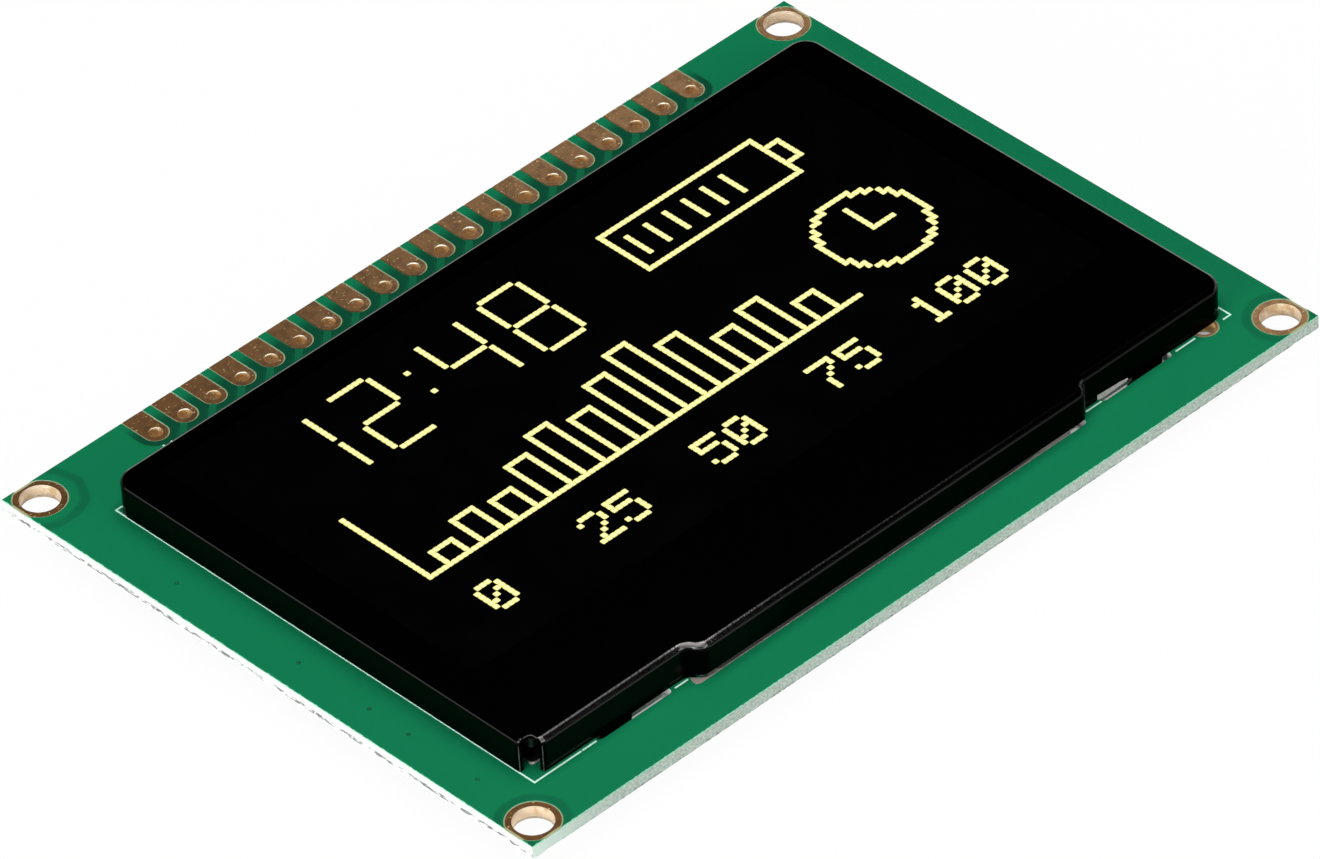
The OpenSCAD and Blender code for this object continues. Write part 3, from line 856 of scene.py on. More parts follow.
@dataclass(frozen=True)
class PlainFinish:
    """A non-metal in two close tones, with a grain of its own scale."""

    name: str
    base: Colour
    tone: Colour
    roughness: Point
    specular: float
    cloud: float
    grain: float
    grain_depth: float

    def build(self) -> Material:
        """Makes the finish's material.

        Returns:
            The material.
        """
        s = Shader(self.name)
        cloud = s.fade(s.noise(self.cloud, 4.0), 0.3, 0.7)
        s.set(Base_Color=s.mix(cloud, self.base, self.tone), Specular_IOR_Level=self.specular)
        s.set(Roughness=s.blend(cloud, *self.roughness))
        s.bump(s.noise(self.grain, seed=6.0), self.grain_depth, strength=0.3)
        return s.material


@dataclass(frozen=True)
class PixelFinish:
    """Lit pixels on their grid: pale yellow, deeper towards each pixel's rim."""

    grid: Point
    pitch: float
    glow: Colour = (1.0, 0.96, 0.52)
    edge: Colour = (0.93, 0.86, 0.24)
    unlit: Colour = (0.02, 0.02, 0.01)
    rim: Point = (0.22, 0.52)
    rim_wander: float = 0.06

    def build(self) -> Material:
        """Makes the lit pixels' material.

        Returns:
            The material.
        """
        s = Shader("lit_pixel")
        reach = []
        for place, start in zip(s.spot, self.grid):
            turns = s.math("DIVIDE", s.less(place, start), self.pitch)
            reach.append(s.apart(s.math("FRACT", turns), 0.5))
        rim = s.plus(s.largest(*reach), s.times(s.noise(0.4), self.rim_wander))
        shade = s.mix(s.fade(rim, *self.rim), self.glow, self.edge)
        s.set(Base_Color=self.unlit, Emission_Color=shade, Emission_Strength=1.0, Roughness=0.5)
        return s.material


def keep_piece(obj: bpy.types.Object, slot: Slot) -> None:
    """Makes an object a piece of the part and reports it.

    Args:
        obj: The finished object, in place.
        slot: The record's slot that its finish belongs to; not used.
    """
    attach(obj, BODY)
    LOG.info("%s: %d faces", obj.name, len(obj.data.polygons))


class Shape:
    """A piece in the making: closed forms in millimetres, which together are added to the part."""

    MITRE_LIMIT = 0.35
    VIA_STEPS = 16
    VIA_PROFILE = ((1.0, 0.0), (0.82, 0.8), (0.64, 1.0), (0.42, 0.6), (0.15, 0.2))
    FILLET_PROFILE = ((0.0, 0.0), (1.0, 0.0), (0.35, 0.35), (0.0, 1.0))

    def __init__(self) -> None:
        """Starts with no form."""
        self.bm = bmesh.new()

    def loft(self, rows: Iterable[Iterable[Sequence[float]]]) -> None:
        """Adds a closed form through outlines that have the same number of points.

        Args:
            rows: The outlines, one after the other.
        """
        made = [[self.bm.verts.new(point) for point in row] for row in rows]
        for a, b in zip(made, made[1:]):
            for k in range(len(a)):
                self.bm.faces.new((a[k - 1], a[k], b[k], b[k - 1]))
        self.bm.faces.new(made[0][::-1])
        self.bm.faces.new(made[-1])

    def ribbon(self, path: Sequence[Point], width: float, base: float, top: float,
               slope: float = 0.0) -> None:
        """Adds a flat strip along a path, mitred at its bends.

        Args:
            path: Points of the middle line.
            width: Width at the base.
            base: Height of the base.
            top: Height of the top.
            slope: How much narrower each side is at the top.
        """
        half = width / 2
        section = ((half, base), (half - slope, top), (slope - half, top), (-half, base))
        points = [Vector(p) for p in path]
        runs = [(b - a).normalized() for a, b in zip(points, points[1:])]
        rows = []
        for here, before, after in zip(points, [runs[0], *runs], [*runs, runs[-1]]):
            run = (before + after).normalized()
            side = Vector((-run.y, run.x)) / max(self.MITRE_LIMIT, run.dot(before))
            rows.append([(*(here + side * reach), height) for reach, height in section])
        self.loft(rows)

    def via(self, centre: Point, face: float, way: float, radius: float, height: float = 0.04) -> None:
        """Adds a covered via: a low rim with a dimple in it.

        Args:
            centre: Place on the board.
            face: Height of the board's face.
            way: 1 on the front face, -1 on the rear face.
            radius: Radius of the rim.
            height: Height of the rim.
        """
        angles = [2 * math.pi * k / self.VIA_STEPS for k in range(self.VIA_STEPS)]
        rim = [(radius * math.cos(angle), radius * math.sin(angle)) for angle in angles]
        x, y = centre
        rows = []
        for share, rise in self.VIA_PROFILE:
            level = face + way * rise * height
            rows.append([(x + share * out, y + share * up, level) for out, up in rim])
        self.loft(rows)

    def fillet(self, foot: Point, way: Point, width: float, reach: float, height: float) -> None:
        """Adds a solder fillet between a part's end and the board.

        Args:
            foot: Middle of the part's end face, on the board.
            way: Direction away from the part.
            width: Width of the fillet.
            reach: How far it runs out along the board.
            height: How far it climbs the part's end, below 0 on the rear face.
        """
        out = Vector(way)
        side = Vector((-out.y, out.x)) * width / 2
        rows = []
        for base in (Vector(foot) - side, Vector(foot) + side):
            rows.append([(*(base + out * reach * a), height * b) for a, b in self.FILLET_PROFILE])
        self.loft(rows)

    def add(self, name: str, material: Material, slot: Slot) -> None:
        """Adds the forms to the part as one piece, in metres and with its faces pointing outwards.

        Args:
            name: The piece's name.
            material: Its finish.
            slot: The record's slot for it.
        """
        bmesh.ops.recalc_face_normals(self.bm, faces=self.bm.faces)
        self.bm.transform(Matrix.Scale(MM, 4))
        mesh = bpy.data.meshes.new(name)
        self.bm.to_mesh(mesh)
        self.bm.free()
        mesh.materials.append(material)
        obj = bpy.data.objects.new(name, mesh)
        bpy.context.scene.collection.objects.link(obj)
        keep_piece(obj, slot)


class TileTree:
    """Geometry Nodes tree that lays one small rounded tile on every point of a mesh."""

    SIZES = ("Width", "Corner", "Thickness")
    CORNER_STEPS = 2
    MERGE_WITHIN = 1e-7

    def __init__(self, name: str) -> None:
        """Builds the tree, with the tile's sizes as named inputs in metres.

        Args:
            name: The tree's name.
        """
        self.tree = bpy.data.node_groups.new(name, "GeometryNodeTree")
        face = self.tree.interface
        face.new_socket("Points", in_out="INPUT", socket_type="NodeSocketGeometry")
        for size in self.SIZES:
            face.new_socket(size, in_out="INPUT", socket_type="NodeSocketFloat")
        face.new_socket("Material", in_out="INPUT", socket_type="NodeSocketMaterial")
        face.new_socket("Tiles", in_out="OUTPUT", socket_type="NodeSocketGeometry")
        self._wire()

    def _wire(self) -> None:
        """Square, rounded, filled, thickened, laid on the points and made one mesh."""
        add = self.tree.nodes.new
        given, out = add("NodeGroupInput"), add("NodeGroupOutput")
        square = add("GeometryNodeCurvePrimitiveQuadrilateral")
        rounded = add("GeometryNodeFilletCurve")
        rounded.mode = "POLY"
        rounded.inputs["Count"].default_value = self.CORNER_STEPS
        filled = add("GeometryNodeFillCurve")
        filled.mode = "NGONS"
        raised = add("GeometryNodeExtrudeMesh")
        raised.inputs["Individual"].default_value = False
        under = add("GeometryNodeFlipFaces")
        closed = add("GeometryNodeJoinGeometry")
        merged = add("GeometryNodeMergeByDistance")
        merged.inputs["Distance"].default_value = self.MERGE_WITHIN
        laid = add("GeometryNodeInstanceOnPoints")
        real = add("GeometryNodeRealizeInstances")
        dressed = add("GeometryNodeSetMaterial")
        for source, output, target, socket in (
            (given, "Width", square, "Width"),
            (given, "Width", square, "Height"),
            (square, "Curve", rounded, "Curve"),
            (given, "Corner", rounded, "Radius"),
            (rounded, "Curve", filled, "Curve"),
            (filled, "Mesh", raised, "Mesh"),
            (given, "Thickness", raised, "Offset Scale"),
            (filled, "Mesh", under, "Mesh"),
            (raised, "Mesh", closed, "Geometry"),
            (under, "Mesh", closed, "Geometry"),
            (closed, "Geometry", merged, "Geometry"),
            (given, "Points", laid, "Points"),
            (merged, "Geometry", laid, "Instance"),
            (laid, "Instances", real, "Geometry"),
            (real, "Geometry", dressed, "Geometry"),
            (given, "Material", dressed, "Material"),
            (dressed, "Geometry", out, "Tiles"),
        ):
            self.tree.links.new(source.outputs[output], target.inputs[socket])

    def apply(self, name: str, points: Iterable[Sequence[float]], **inputs: Any) -> bpy.types.Object:
        """Runs the tree on points and keeps the result as a plain mesh.

        Args:
            name: The new object's name.
            points: Places of the tiles, in millimetres.
            inputs: Values for the tree's named inputs.

        Returns:
            The object, with no modifier left on it.
        """
        mesh = bpy.data.meshes.new(name + "_points")
        mesh.from_pydata([tuple(c * MM for c in p) for p in points], [], [])
        made = bpy.data.objects.new(name, mesh)
        bpy.context.scene.collection.objects.link(made)
        modifier = made.modifiers.new("tiles", "NODES")
        modifier.node_group = self.tree
        for item in self.tree.interface.items_tree:
            if item.item_type == "SOCKET" and item.in_out == "INPUT" and item.name in inputs:
                modifier[item.identifier] = inputs[item.name]
        graph = bpy.context.evaluated_depsgraph_get()
        final = bpy.data.meshes.new_from_object(made.evaluated_get(graph))
        made.modifiers.clear()
        made.data = final
        return made


@dataclass
class BoardPrint:
    """The board's front face: the white outline round the bezel, the covered vias and the header's tracks."""

    plan: BoardPlan
    line_width: float = 0.14
    ink_rise: float = 0.018
    left: float = -30.95
    right: float = 31.5
    front: float = -20.45
    back: float = 18.52
    front_left_stop: float = -26.93
    front_runs: tuple[Point, ...] = ((-26.83, -25.62), (-18.75, -17.62), (18.1, 19.55), (26.4, 28.2))
    front_right_start: float = 30.8
    first_pin_mark: tuple[Point, ...] = ((-24.5, 21.12), (-24.5, 20.3), (-23.86, 20.3), (-23.86, 21.05))
    via_x: float = -33.2
    via_rows: tuple[float, ...] = (10.3, -1.15, -7.7, -11.3, -17.6)
    via_radius: float = 0.17
    track_width: float = 0.5
    track_run: float = 2.8
    track_rise: float = 0.02

    def build(self, ink: Material, mask: Material, via: Material) -> None:
        """Adds the outline, the vias and the tracks that leave the header.

        Args:
            ink: Finish of the white print.
            mask: Finish of the mask that covers the tracks.
            via: Finish of the mask that has run into the vias.
        """
        plan, top = self.plan, self.plan.thickness
        outline = Shape()
        around = ((self.front_left_stop, self.front), (self.left, self.front), (self.left, self.back),
                  (self.right, self.back), (self.right, self.front), (self.front_right_start, self.front))
        gaps = [((start, self.front), (stop, self.front)) for start, stop in self.front_runs]
        for run in (*gaps, around, self.first_pin_mark):
            outline.ribbon(run, self.line_width, top, top + self.ink_rise, self.ink_rise)
        outline.add("front_outline_print", ink, Slot.MASK)

        vias = Shape()
        for y in self.via_rows:
            vias.via((self.via_x, y), top, 1.0, self.via_radius)
        vias.add("front_vias", via, Slot.MASK)

        tracks = Shape()
        start = (plan.pad_width / 2 + plan.mask_gap) * math.sqrt(0.5)
        for index in range(1, plan.pad_count):
            path = [(plan.pin_x(index) - run, plan.pin_y - run) for run in (start, self.track_run)]
            tracks.ribbon(path, self.track_width, top, top + self.track_rise, self.track_rise)
        tracks.add("header_tracks", mask, Slot.MASK)


@dataclass
class ReliefEdges:
    """Bare steel on the cut edges of the relief at the bezel's front left corner."""

    side: float = 1.1
    inner_radius: float = 0.35
    fold: float = 0.45
    bulge: float = 1.0
    width: float = 0.03
    stand_off: float = 0.012
    wall_depth: float = 0.06
    wall_height: float = 2.5
    rim: Point = (0.10, 0.02)
    arc_steps: int = 9

    def build(self, steel: Material) -> None:
        """Adds the upright edges of both walls and the rim of the top sheet.

        Args:
            steel: Finish of the bare steel.
        """
        low, high = (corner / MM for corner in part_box("bezel_frame"))
        left, front = low.x, low.y + self.bulge
        inner_x, inner_y = left + self.side - self.stand_off, front + self.side - self.stand_off
        edges = Shape()
        for path in (((inner_x, front), (inner_x, front + self.wall_depth)),
                     ((left, inner_y), (left + self.wall_depth, inner_y))):
            edges.ribbon(path, self.width, high.z - self.wall_height, high.z - self.fold)
        radius = self.inner_radius
        rim = [(inner_x, front + self.fold)]
        for step in range(self.arc_steps + 1):
            angle = math.pi / 2 * step / self.arc_steps
            cut_x, cut_y = (radius * (1 - reach) for reach in (math.cos(angle), math.sin(angle)))
            rim.append((inner_x - cut_x, inner_y - cut_y))
        rim.append((left + self.fold, inner_y))
        edges.ribbon(rim, self.width / 2, *(high.z - drop for drop in self.rim))
        edges.add("relief_edges", steel, Slot.SHEET)


@dataclass
class TailEdge:
    """Pale edge of the tail's cover film, which shows beside the bulge's left end."""

    thickness: float = 0.02
    outline: tuple[Point, ...] = (
        (-17.45, -20.45), (-17.15, -20.75), (-16.85, -21.05), (-16.5, -21.23), (-15.2, -21.25),
        (-15.2, -21.32), (-17.3, -21.32), (-17.56, -21.18), (-17.6, -20.9),
    )

    def build(self, film: Material, board_top: float) -> None:
        """Adds the film's edge.

        Args:
            film: Its finish.
            board_top: Height of the board's front face.
        """
        edge = Shape()
        levels = (board_top, board_top + self.thickness)
        edge.loft([(*point, level) for point in self.outline] for level in levels)
        edge.add("tail_edge", film, Slot.FLEX)


@dataclass
class TabGapPatch:
    """Pale patch on the foot of the bezel's front wall, beside the right tab: painted light that stands for
    the floor seen under the wall there.
    """

    front: float = -20.2
    thickness: float = 0.02
    outline: tuple[Point, ...] = (
        (19.42, 1.08), (19.42, 1.42), (20.1, 1.37), (20.8, 1.33), (21.5, 1.30), (22.22, 1.19),
        (22.22, 1.03), (21.9, 0.97), (21.5, 1.0), (21.1, 0.93), (20.6, 0.96), (20.2, 0.9), (19.7, 0.92),
    )

    def build(self, steel: Material) -> None:
        """Adds the pale patch.

        Args:
            steel: Finish of the pale patch.
        """
        gap_patch = Shape()
        faces = (self.front, self.front - self.thickness)
        gap_patch.loft([(x, face, z) for x, z in self.outline] for face in faces)
        gap_patch.add("tab_gap_light", steel, Slot.SHEET)


@dataclass
class RearCircuit:
    """Rear face: tracks from the tail to the header and between the parts, vias, print and solder fillets."""

    OUTLINED: ClassVar[tuple[str, ...]] = ("inductor_core", "converter_body", "diode_body", "regulator_body")
    GRIDS: ClassVar[dict[str, tuple[int, int]]] = {"bypass_ends": (6, 1), "resistor_ends": (7, 2)}

    plan: BoardPlan
    track_rise: float = 0.025
    corner_cut: float = 0.5
    corner_share: float = 0.45
    signals: int = 8
    spare_pins: int = 2
    joint_count: int = 24
    joint_width: float = 0.45
    signal_width: float = 0.15
    signal_step: float = 0.28
    channel_x: float = 12.35
    first_turn: float = 0.5
    fan_y: float = 13.0
    fan_step: float = 0.4
    power_width: float = 0.8
    power_gap: float = 0.3
    coil_gap: float = 0.2
    coil_run: float = 1.7
    coil_inset: float = 0.6
    part_length: float = 1.6
    part_width: float = 0.8
    link_gap: float = 0.2
    fillet_reach: float = 0.35
    fillet_climb: float = 0.6
    large_fillet: Point = (0.5, 0.9)
    via_radius: float = 0.28
    via_gap: float = 0.9
    reservoir_vias: Point = (0.6, 2.6)
    channel_via_gap: float = 1.2
    channel_vias: tuple[float, ...] = (-4.0, -2.0, 0.0, 2.0, 4.0)
    print_width: float = 0.15
    print_rise: float = 0.018
    print_slope: float = 0.01
    print_room: float = 0.3
    print_arm: float = 0.28
    mark_gap: float = 0.5
    mark_size: Point = (1.4, 2.2)

    def build(self, ink: Material, mask: Material, via: Material, solder: Material) -> None:
        """Adds the rear detail.

        Args:
            ink: Finish of the white print.
            mask: Finish of the mask over the tracks.
            via: Finish of the mask that has run into the vias.
            solder: Finish of the fillets.
        """
        tracks = Shape()
        for paths, width in ((self.signal_paths(), self.signal_width), (self.power_paths(), self.power_width),
                             (self.link_paths(), 2 * self.signal_width)):
            for path in paths:
                rounded = self.cut_corners(path)
                tracks.ribbon(rounded, width, 0.0, -self.track_rise, self.track_rise)
        tracks.add("rear_tracks", mask, Slot.MASK)

        vias = Shape()
        for spot in self.via_spots():
            vias.via(spot, 0.0, -1.0, self.via_radius)
        vias.add("rear_vias", via, Slot.MASK)

        marks = Shape()
        boxes = [self.flat_box(name) for name in self.OUTLINED] + self.reservoirs()
        for path in [*(path for box in boxes for path in self.corner_marks(*box)), self.first_pin_mark()]:
            marks.ribbon(path, self.print_width, 0.0, -self.print_rise, self.print_slope)
        marks.add("rear_print", ink, Slot.MASK)

        self.fillets().add("solder_fillets", solder, Slot.SOLDER)

    def cut_corners(self, path: Sequence[Point]) -> list[Point]:
        """Cuts the corners of a path, by no more than a share of the shorter side.

        Args:
            path: Points of the path.

        Returns:
            The path with two points for each corner.
        """
        points = [Vector(p) for p in path]
        result = [tuple(points[0])]
        for before, here, after in zip(points, points[1:], points[2:]):
            shorter = min((before - here).length, (after - here).length)
            reach = min(self.corner_cut, self.corner_share * shorter)
            result += [tuple(here + (other - here).normalized() * reach) for other in (before, after)]
        return [*result, tuple(points[-1])]

    @staticmethod
    def flat_box(name: str) -> tuple[Vector, Vector]:
        """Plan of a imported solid's box, in millimetres."""
        low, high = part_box(name)
        return Vector(low.xy) / MM, Vector(high.xy) / MM

    def reservoirs(self) -> list[tuple[Vector, Vector]]:
        """Finds the three reservoir capacitors, at corners of their common box.

        Returns:
            The lowest and highest corner of each one's plan: back right, front left and front right.
        """
        low, high = self.flat_box("reservoir_ends")
        size = 2 * Vector((self.part_length, self.part_width))
        corners = ((high.x - size.x, high.y - size.y), (low.x, low.y), (high.x - size.x, low.y))
        return [(Vector(corner), Vector(corner) + size) for corner in corners]

    def small_parts(self, name: str) -> list[Point]:
        """Finds the parts of one kind of bypass capacitors or resistors, which stand in a grid.

        Args:
            name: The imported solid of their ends.

        Returns:
            The middle of each part, column by column and from the front.
        """
        low, high = self.flat_box(name)
        columns, rows = self.GRIDS[name]
        step_x = (high.x - low.x - self.part_width) / (columns - 1)
        step_y = (high.y - low.y - self.part_length) / max(1, rows - 1)
        first_x, first_y = low.x + self.part_width / 2, low.y + self.part_length / 2
        return [(first_x + i * step_x, first_y + j * step_y) for i in range(columns) for j in range(rows)]

    def resistor_rows(self) -> tuple[list[Point], list[Point]]:
        """Middles of the resistors in the lower and in the upper row."""
        resistors = self.small_parts("resistor_ends")
        return resistors[::2], resistors[1::2]

    def signal_paths(self) -> list[list[Point]]:
        """Finds the tracks from the tail's contacts, through a channel on each side, to the header's pads.

        Returns:
            The points of each track.
        """
        low, high = self.flat_box("flex_joints")
        step = (high.x - low.x - self.joint_width) / (self.joint_count - 1)
        end_y = self.plan.pin_y - self.plan.pad_width / 2 - self.plan.mask_gap
        paths = []
        for side in (-1, 1):
            for k in range(self.signals):
                rank = self.spare_pins + k
                joint = rank if side < 0 else self.joint_count - 1 - rank
                pin = rank if side < 0 else self.plan.pad_count - 1 - rank
                start = low.x + self.joint_width / 2 + joint * step
                channel = side * (self.channel_x - k * self.signal_step)
                goal = self.plan.pin_x(pin)
                turn = high.y + self.first_turn + k * self.signal_step
                outwards = (goal - channel) * side > 0
                fan = self.fan_y + self.fan_step * (k if outwards else self.signals - 1 - k)
                paths.append([(start, high.y), (start, turn), (channel, turn),
                              (channel, fan), (goal, fan), (goal, end_y)])
        return paths

    def power_paths(self) -> list[list[Point]]:
        """Finds the broad tracks between the reservoirs, the coil and the regulator.

        Returns:
            The points of each track.
        """
        (back_low, _), (left_low, left_high), (front_low, front_high) = self.reservoirs()
        coil_low, coil_high = self.flat_box("inductor_core")
        inset, gap = self.part_width / 2, self.power_gap
        left_x, coil_y = left_low.x + inset, coil_high.y - self.coil_inset
        upright = [(left_x, left_high.y + gap, coil_low.y - self.coil_gap)]
        for x in (front_low.x + inset, front_high.x - inset):
            upright.append((x, front_high.y + gap, back_low.y - gap))
        paths = [[(x, start), (x, stop)] for x, start, stop in upright]
        return [*paths, [(coil_high.x + run, coil_y) for run in (self.coil_gap, self.coil_run)]]

    def link_paths(self) -> list[list[Point]]:
        """Finds the short tracks between the rows of small parts.

        Returns:
            The points of each track.
        """
        half = self.part_length / 2 + self.link_gap
        lower, upper = self.resistor_rows()
        paths = [[(a[0], a[1] + half), (b[0], b[1] - half)] for a, b in zip(lower, upper)]
        for a, b in zip(self.small_parts("bypass_ends"), lower):
            middle = (a[1] + b[1]) / 2
            paths.append([(a[0], a[1] + half), (a[0], middle), (b[0], middle), (b[0], b[1] - half)])
        return paths

    def via_spots(self) -> list[Point]:
        """Finds the vias over the upper resistors, beside the reservoirs and along the channels' outer sides.

        Returns:
            Their middles.
        """
        spots = [(x, y + self.part_length / 2 + self.via_gap) for x, y in self.resistor_rows()[1]]
        for low, high in self.reservoirs():
            spots += [(low.x + reach, high.y + self.via_gap) for reach in self.reservoir_vias]
        outer = self.channel_x + self.channel_via_gap
        return spots + [(side * outer, y) for side in (-1, 1) for y in self.channel_vias]

    def corner_marks(self, low: Vector, high: Vector) -> list[list[Point]]:
        """Finds the printed corner marks round a part.

        Args:
            low: Lowest corner of the part's plan.
            high: Highest corner of the part's plan.

        Returns:
            The points of each mark.
        """
        room = self.print_room
        arm = self.print_arm * min(high.x - low.x, high.y - low.y)
        return [[(x + sx * arm, y), (x, y), (x, y + sy * arm)]
                for x, sx in ((low.x - room, 1), (high.x + room, -1))
                for y, sy in ((low.y - room, 1), (high.y + room, -1))]

    def first_pin_mark(self) -> list[Point]:
        """Finds the printed bracket beside the first header pad.

        Returns:
            Its points.
        """
        reach = self.plan.pad_width / 2 + self.mark_gap
        x, y = self.plan.pin_x(0) - reach, self.plan.pin_y - reach
        return [(x, y + self.mark_size[1]), (x, y), (x + self.mark_size[0], y)]

    def fillets(self) -> Shape:
        """Makes the solder fillets at the ends of the small parts and of the reservoirs.

        Returns:
            The fillets, not yet added to the part.
        """
        shape = Shape()
        for name in self.GRIDS:
            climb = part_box(name)[0].z / MM * self.fillet_climb
            for x, y in self.small_parts(name):
                for way in (-1, 1):
                    foot = (x, y + way * self.part_length / 2)
                    shape.fillet(foot, (0, way), self.part_width, self.fillet_reach, climb)
        reach, climb = self.large_fillet
        for low, high in self.reservoirs():
            for x, way in ((low.x, -1), (high.x, 1)):
                shape.fillet((x, (low.y + high.y) / 2), (way, 0), high.y - low.y, reach, -climb)
        return shape


class DotDigits:
    """Plain digits on a grid of five by seven dots."""

    ROWS = {
        "0": ".###.|#...#|#..##|#.#.#|##..#|#...#|.###.",
        "1": "..#..|.##..|..#..|..#..|..#..|..#..|.###.",
        "2": ".###.|#...#|....#|...#.|..#..|.#...|#####",
        "5": "#####|#....|####.|....#|....#|#...#|.###.",
        "7": "#####|....#|...#.|..#..|.#...|.#...|.#...",
    }
    ADVANCE = 6

    @classmethod
    def dots(cls, text: str, column: int, row: int) -> Cells:
        """Finds the dots of a line of digits.

        Args:
            text: The digits.
            column: Left column of the first digit.
            row: Top row.

        Returns:
            The lit columns and rows.
        """
        lit = set()
        for i, digit in enumerate(text):
            for j, line in enumerate(cls.ROWS[digit].split("|")):
                lit |= {(column + i * cls.ADVANCE + k, row + j) for k, dot in enumerate(line) if dot == "#"}
        return lit


@dataclass
class LitField:
    """The lit pixels on a grid of 128 by 64: a clock, a gauge, a bar chart, a ring clock and a scale."""

    SEGMENTS: ClassVar[dict[str, str]] = {"1": "bc", "2": "abged", "4": "fgbc", "8": "abcdefg"}

    columns: int = 128
    rows: int = 64
    pitch: float = 0.43
    dot: float = 0.424
    dot_corner: float = 0.08
    dot_thickness: float = 0.012
    hour: tuple[tuple[str, int], ...] = (("1", 12), ("2", 25), ("4", 43), ("8", 56))
    hour_row: int = 4
    hour_dots: tuple[tuple[int, int], ...] = ((38, 8), (38, 14))
    gauge: tuple[int, ...] = (80, 6, 33, 12)
    gauge_cap: tuple[int, ...] = (112, 9, 4, 6)
    gauge_levels: tuple[int, ...] = (83, 87, 91, 95, 99, 103)
    chart_axes: tuple[tuple[int, ...], ...] = ((8, 45, 90, 1), (8, 26, 1, 20))
    bars: tuple[int, ...] = (4, 7, 6, 10, 13, 11, 15, 18, 14, 9, 11, 6)
    bar_width: int = 5
    bar_step: int = 7
    bar_left: int = 12
    bar_foot: int = 45
    ring: tuple[int, ...] = (110, 35, 9)
    ring_hands: tuple[tuple[int, ...], ...] = ((110, 29, 1, 7), (110, 35, 5, 1))
    scale: tuple[str, ...] = ("0", "25", "50", "75", "100")
    scale_left: int = 13
    scale_step: int = 24
    scale_row: int = 52

    def build(self, tree: TileTree) -> None:
        """Lays the lit pixels on the film.

        Args:
            tree: The tree that makes the tiles.
        """
        low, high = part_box("polarizer")
        middle, top = (low + high) / 2 / MM, high.z / MM
        left, back = middle.x - self.columns / 2 * self.pitch, middle.y + self.rows / 2 * self.pitch
        material = PixelFinish((left, back - self.rows * self.pitch), self.pitch).build()
        spots = [(left + (column + 0.5) * self.pitch, back - (row + 0.5) * self.pitch, top)
                 for column, row in sorted(self.pattern())]
        obj = tree.apply("lit_pixels", spots, Width=self.dot * MM, Corner=self.dot_corner * MM,
                         Thickness=self.dot_thickness * MM, Material=material)
        keep_piece(obj, Slot.FILM)

    def pattern(self) -> Cells:
        """Finds the lit pixels; every stroke is one pixel wide.

        Returns:
            The lit columns and rows, counted from the top left.
        """
        lit = set(self.hour_dots) | self.circle(*self.ring)
        for outline in (self.gauge, self.gauge_cap):
            lit |= self.frame(*outline)
        for digit, column in self.hour:
            lit |= self.segments(digit, column, self.hour_row)
        _, cap_row, _, cap_height = self.gauge_cap
        for column in self.gauge_levels:
            lit |= self.block(column, cap_row, 1, cap_height)
        for i, height in enumerate(self.bars):
            column = self.bar_left + i * self.bar_step
            lit |= self.frame(column, self.bar_foot - height, self.bar_width, height + 1)
        for stroke in (*self.chart_axes, *self.ring_hands):
            lit |= self.block(*stroke)
        for i, label in enumerate(self.scale):
            column = self.scale_left + i * self.scale_step - len(label) * DotDigits.ADVANCE // 2
            lit |= DotDigits.dots(label, column, self.scale_row)
        return lit

    @classmethod
    def segments(cls, digit: str, column: int, row: int, width: int = 9, half: int = 8) -> Cells:
        """Finds the pixels of one large digit of seven segments.

        Args:
            digit: The digit.
            column: Left column.
            row: Top row.
            width: Width in pixels.
            half: Height of each half in pixels.

        Returns:
            The lit columns and rows.
        """
        right = column + width - 1
        level = {name: (column + 1, row + i * half, width - 2, 1) for i, name in enumerate("agd")}
        upright = {
            "f": (column, row + 1, 1, half - 1), "b": (right, row + 1, 1, half - 1),
            "e": (column, row + half + 1, 1, half - 1), "c": (right, row + half + 1, 1, half - 1),
        }
        strokes = level | upright
        return set().union(*(cls.block(*strokes[name]) for name in cls.SEGMENTS[digit]))

    @staticmethod
    def block(column: int, row: int, width: int, height: int) -> Cells:
        """A filled rectangle."""
        return {(column + i, row + j) for i in range(width) for j in range(height)}

    @classmethod
    def frame(cls, column: int, row: int, width: int, height: int) -> Cells:
        """The outline of a rectangle."""
        return cls.block(column, row, width, height) - cls.block(column + 1, row + 1, width - 2, height - 2)

    @staticmethod
    def circle(column: int, row: int, radius: int) -> Cells:
        """The outline of a circle."""
        around = range(-radius, radius + 1)
        return {(column + i, row + j) for i in around for j in around if abs(math.hypot(i, j) - radius) < 0.5}


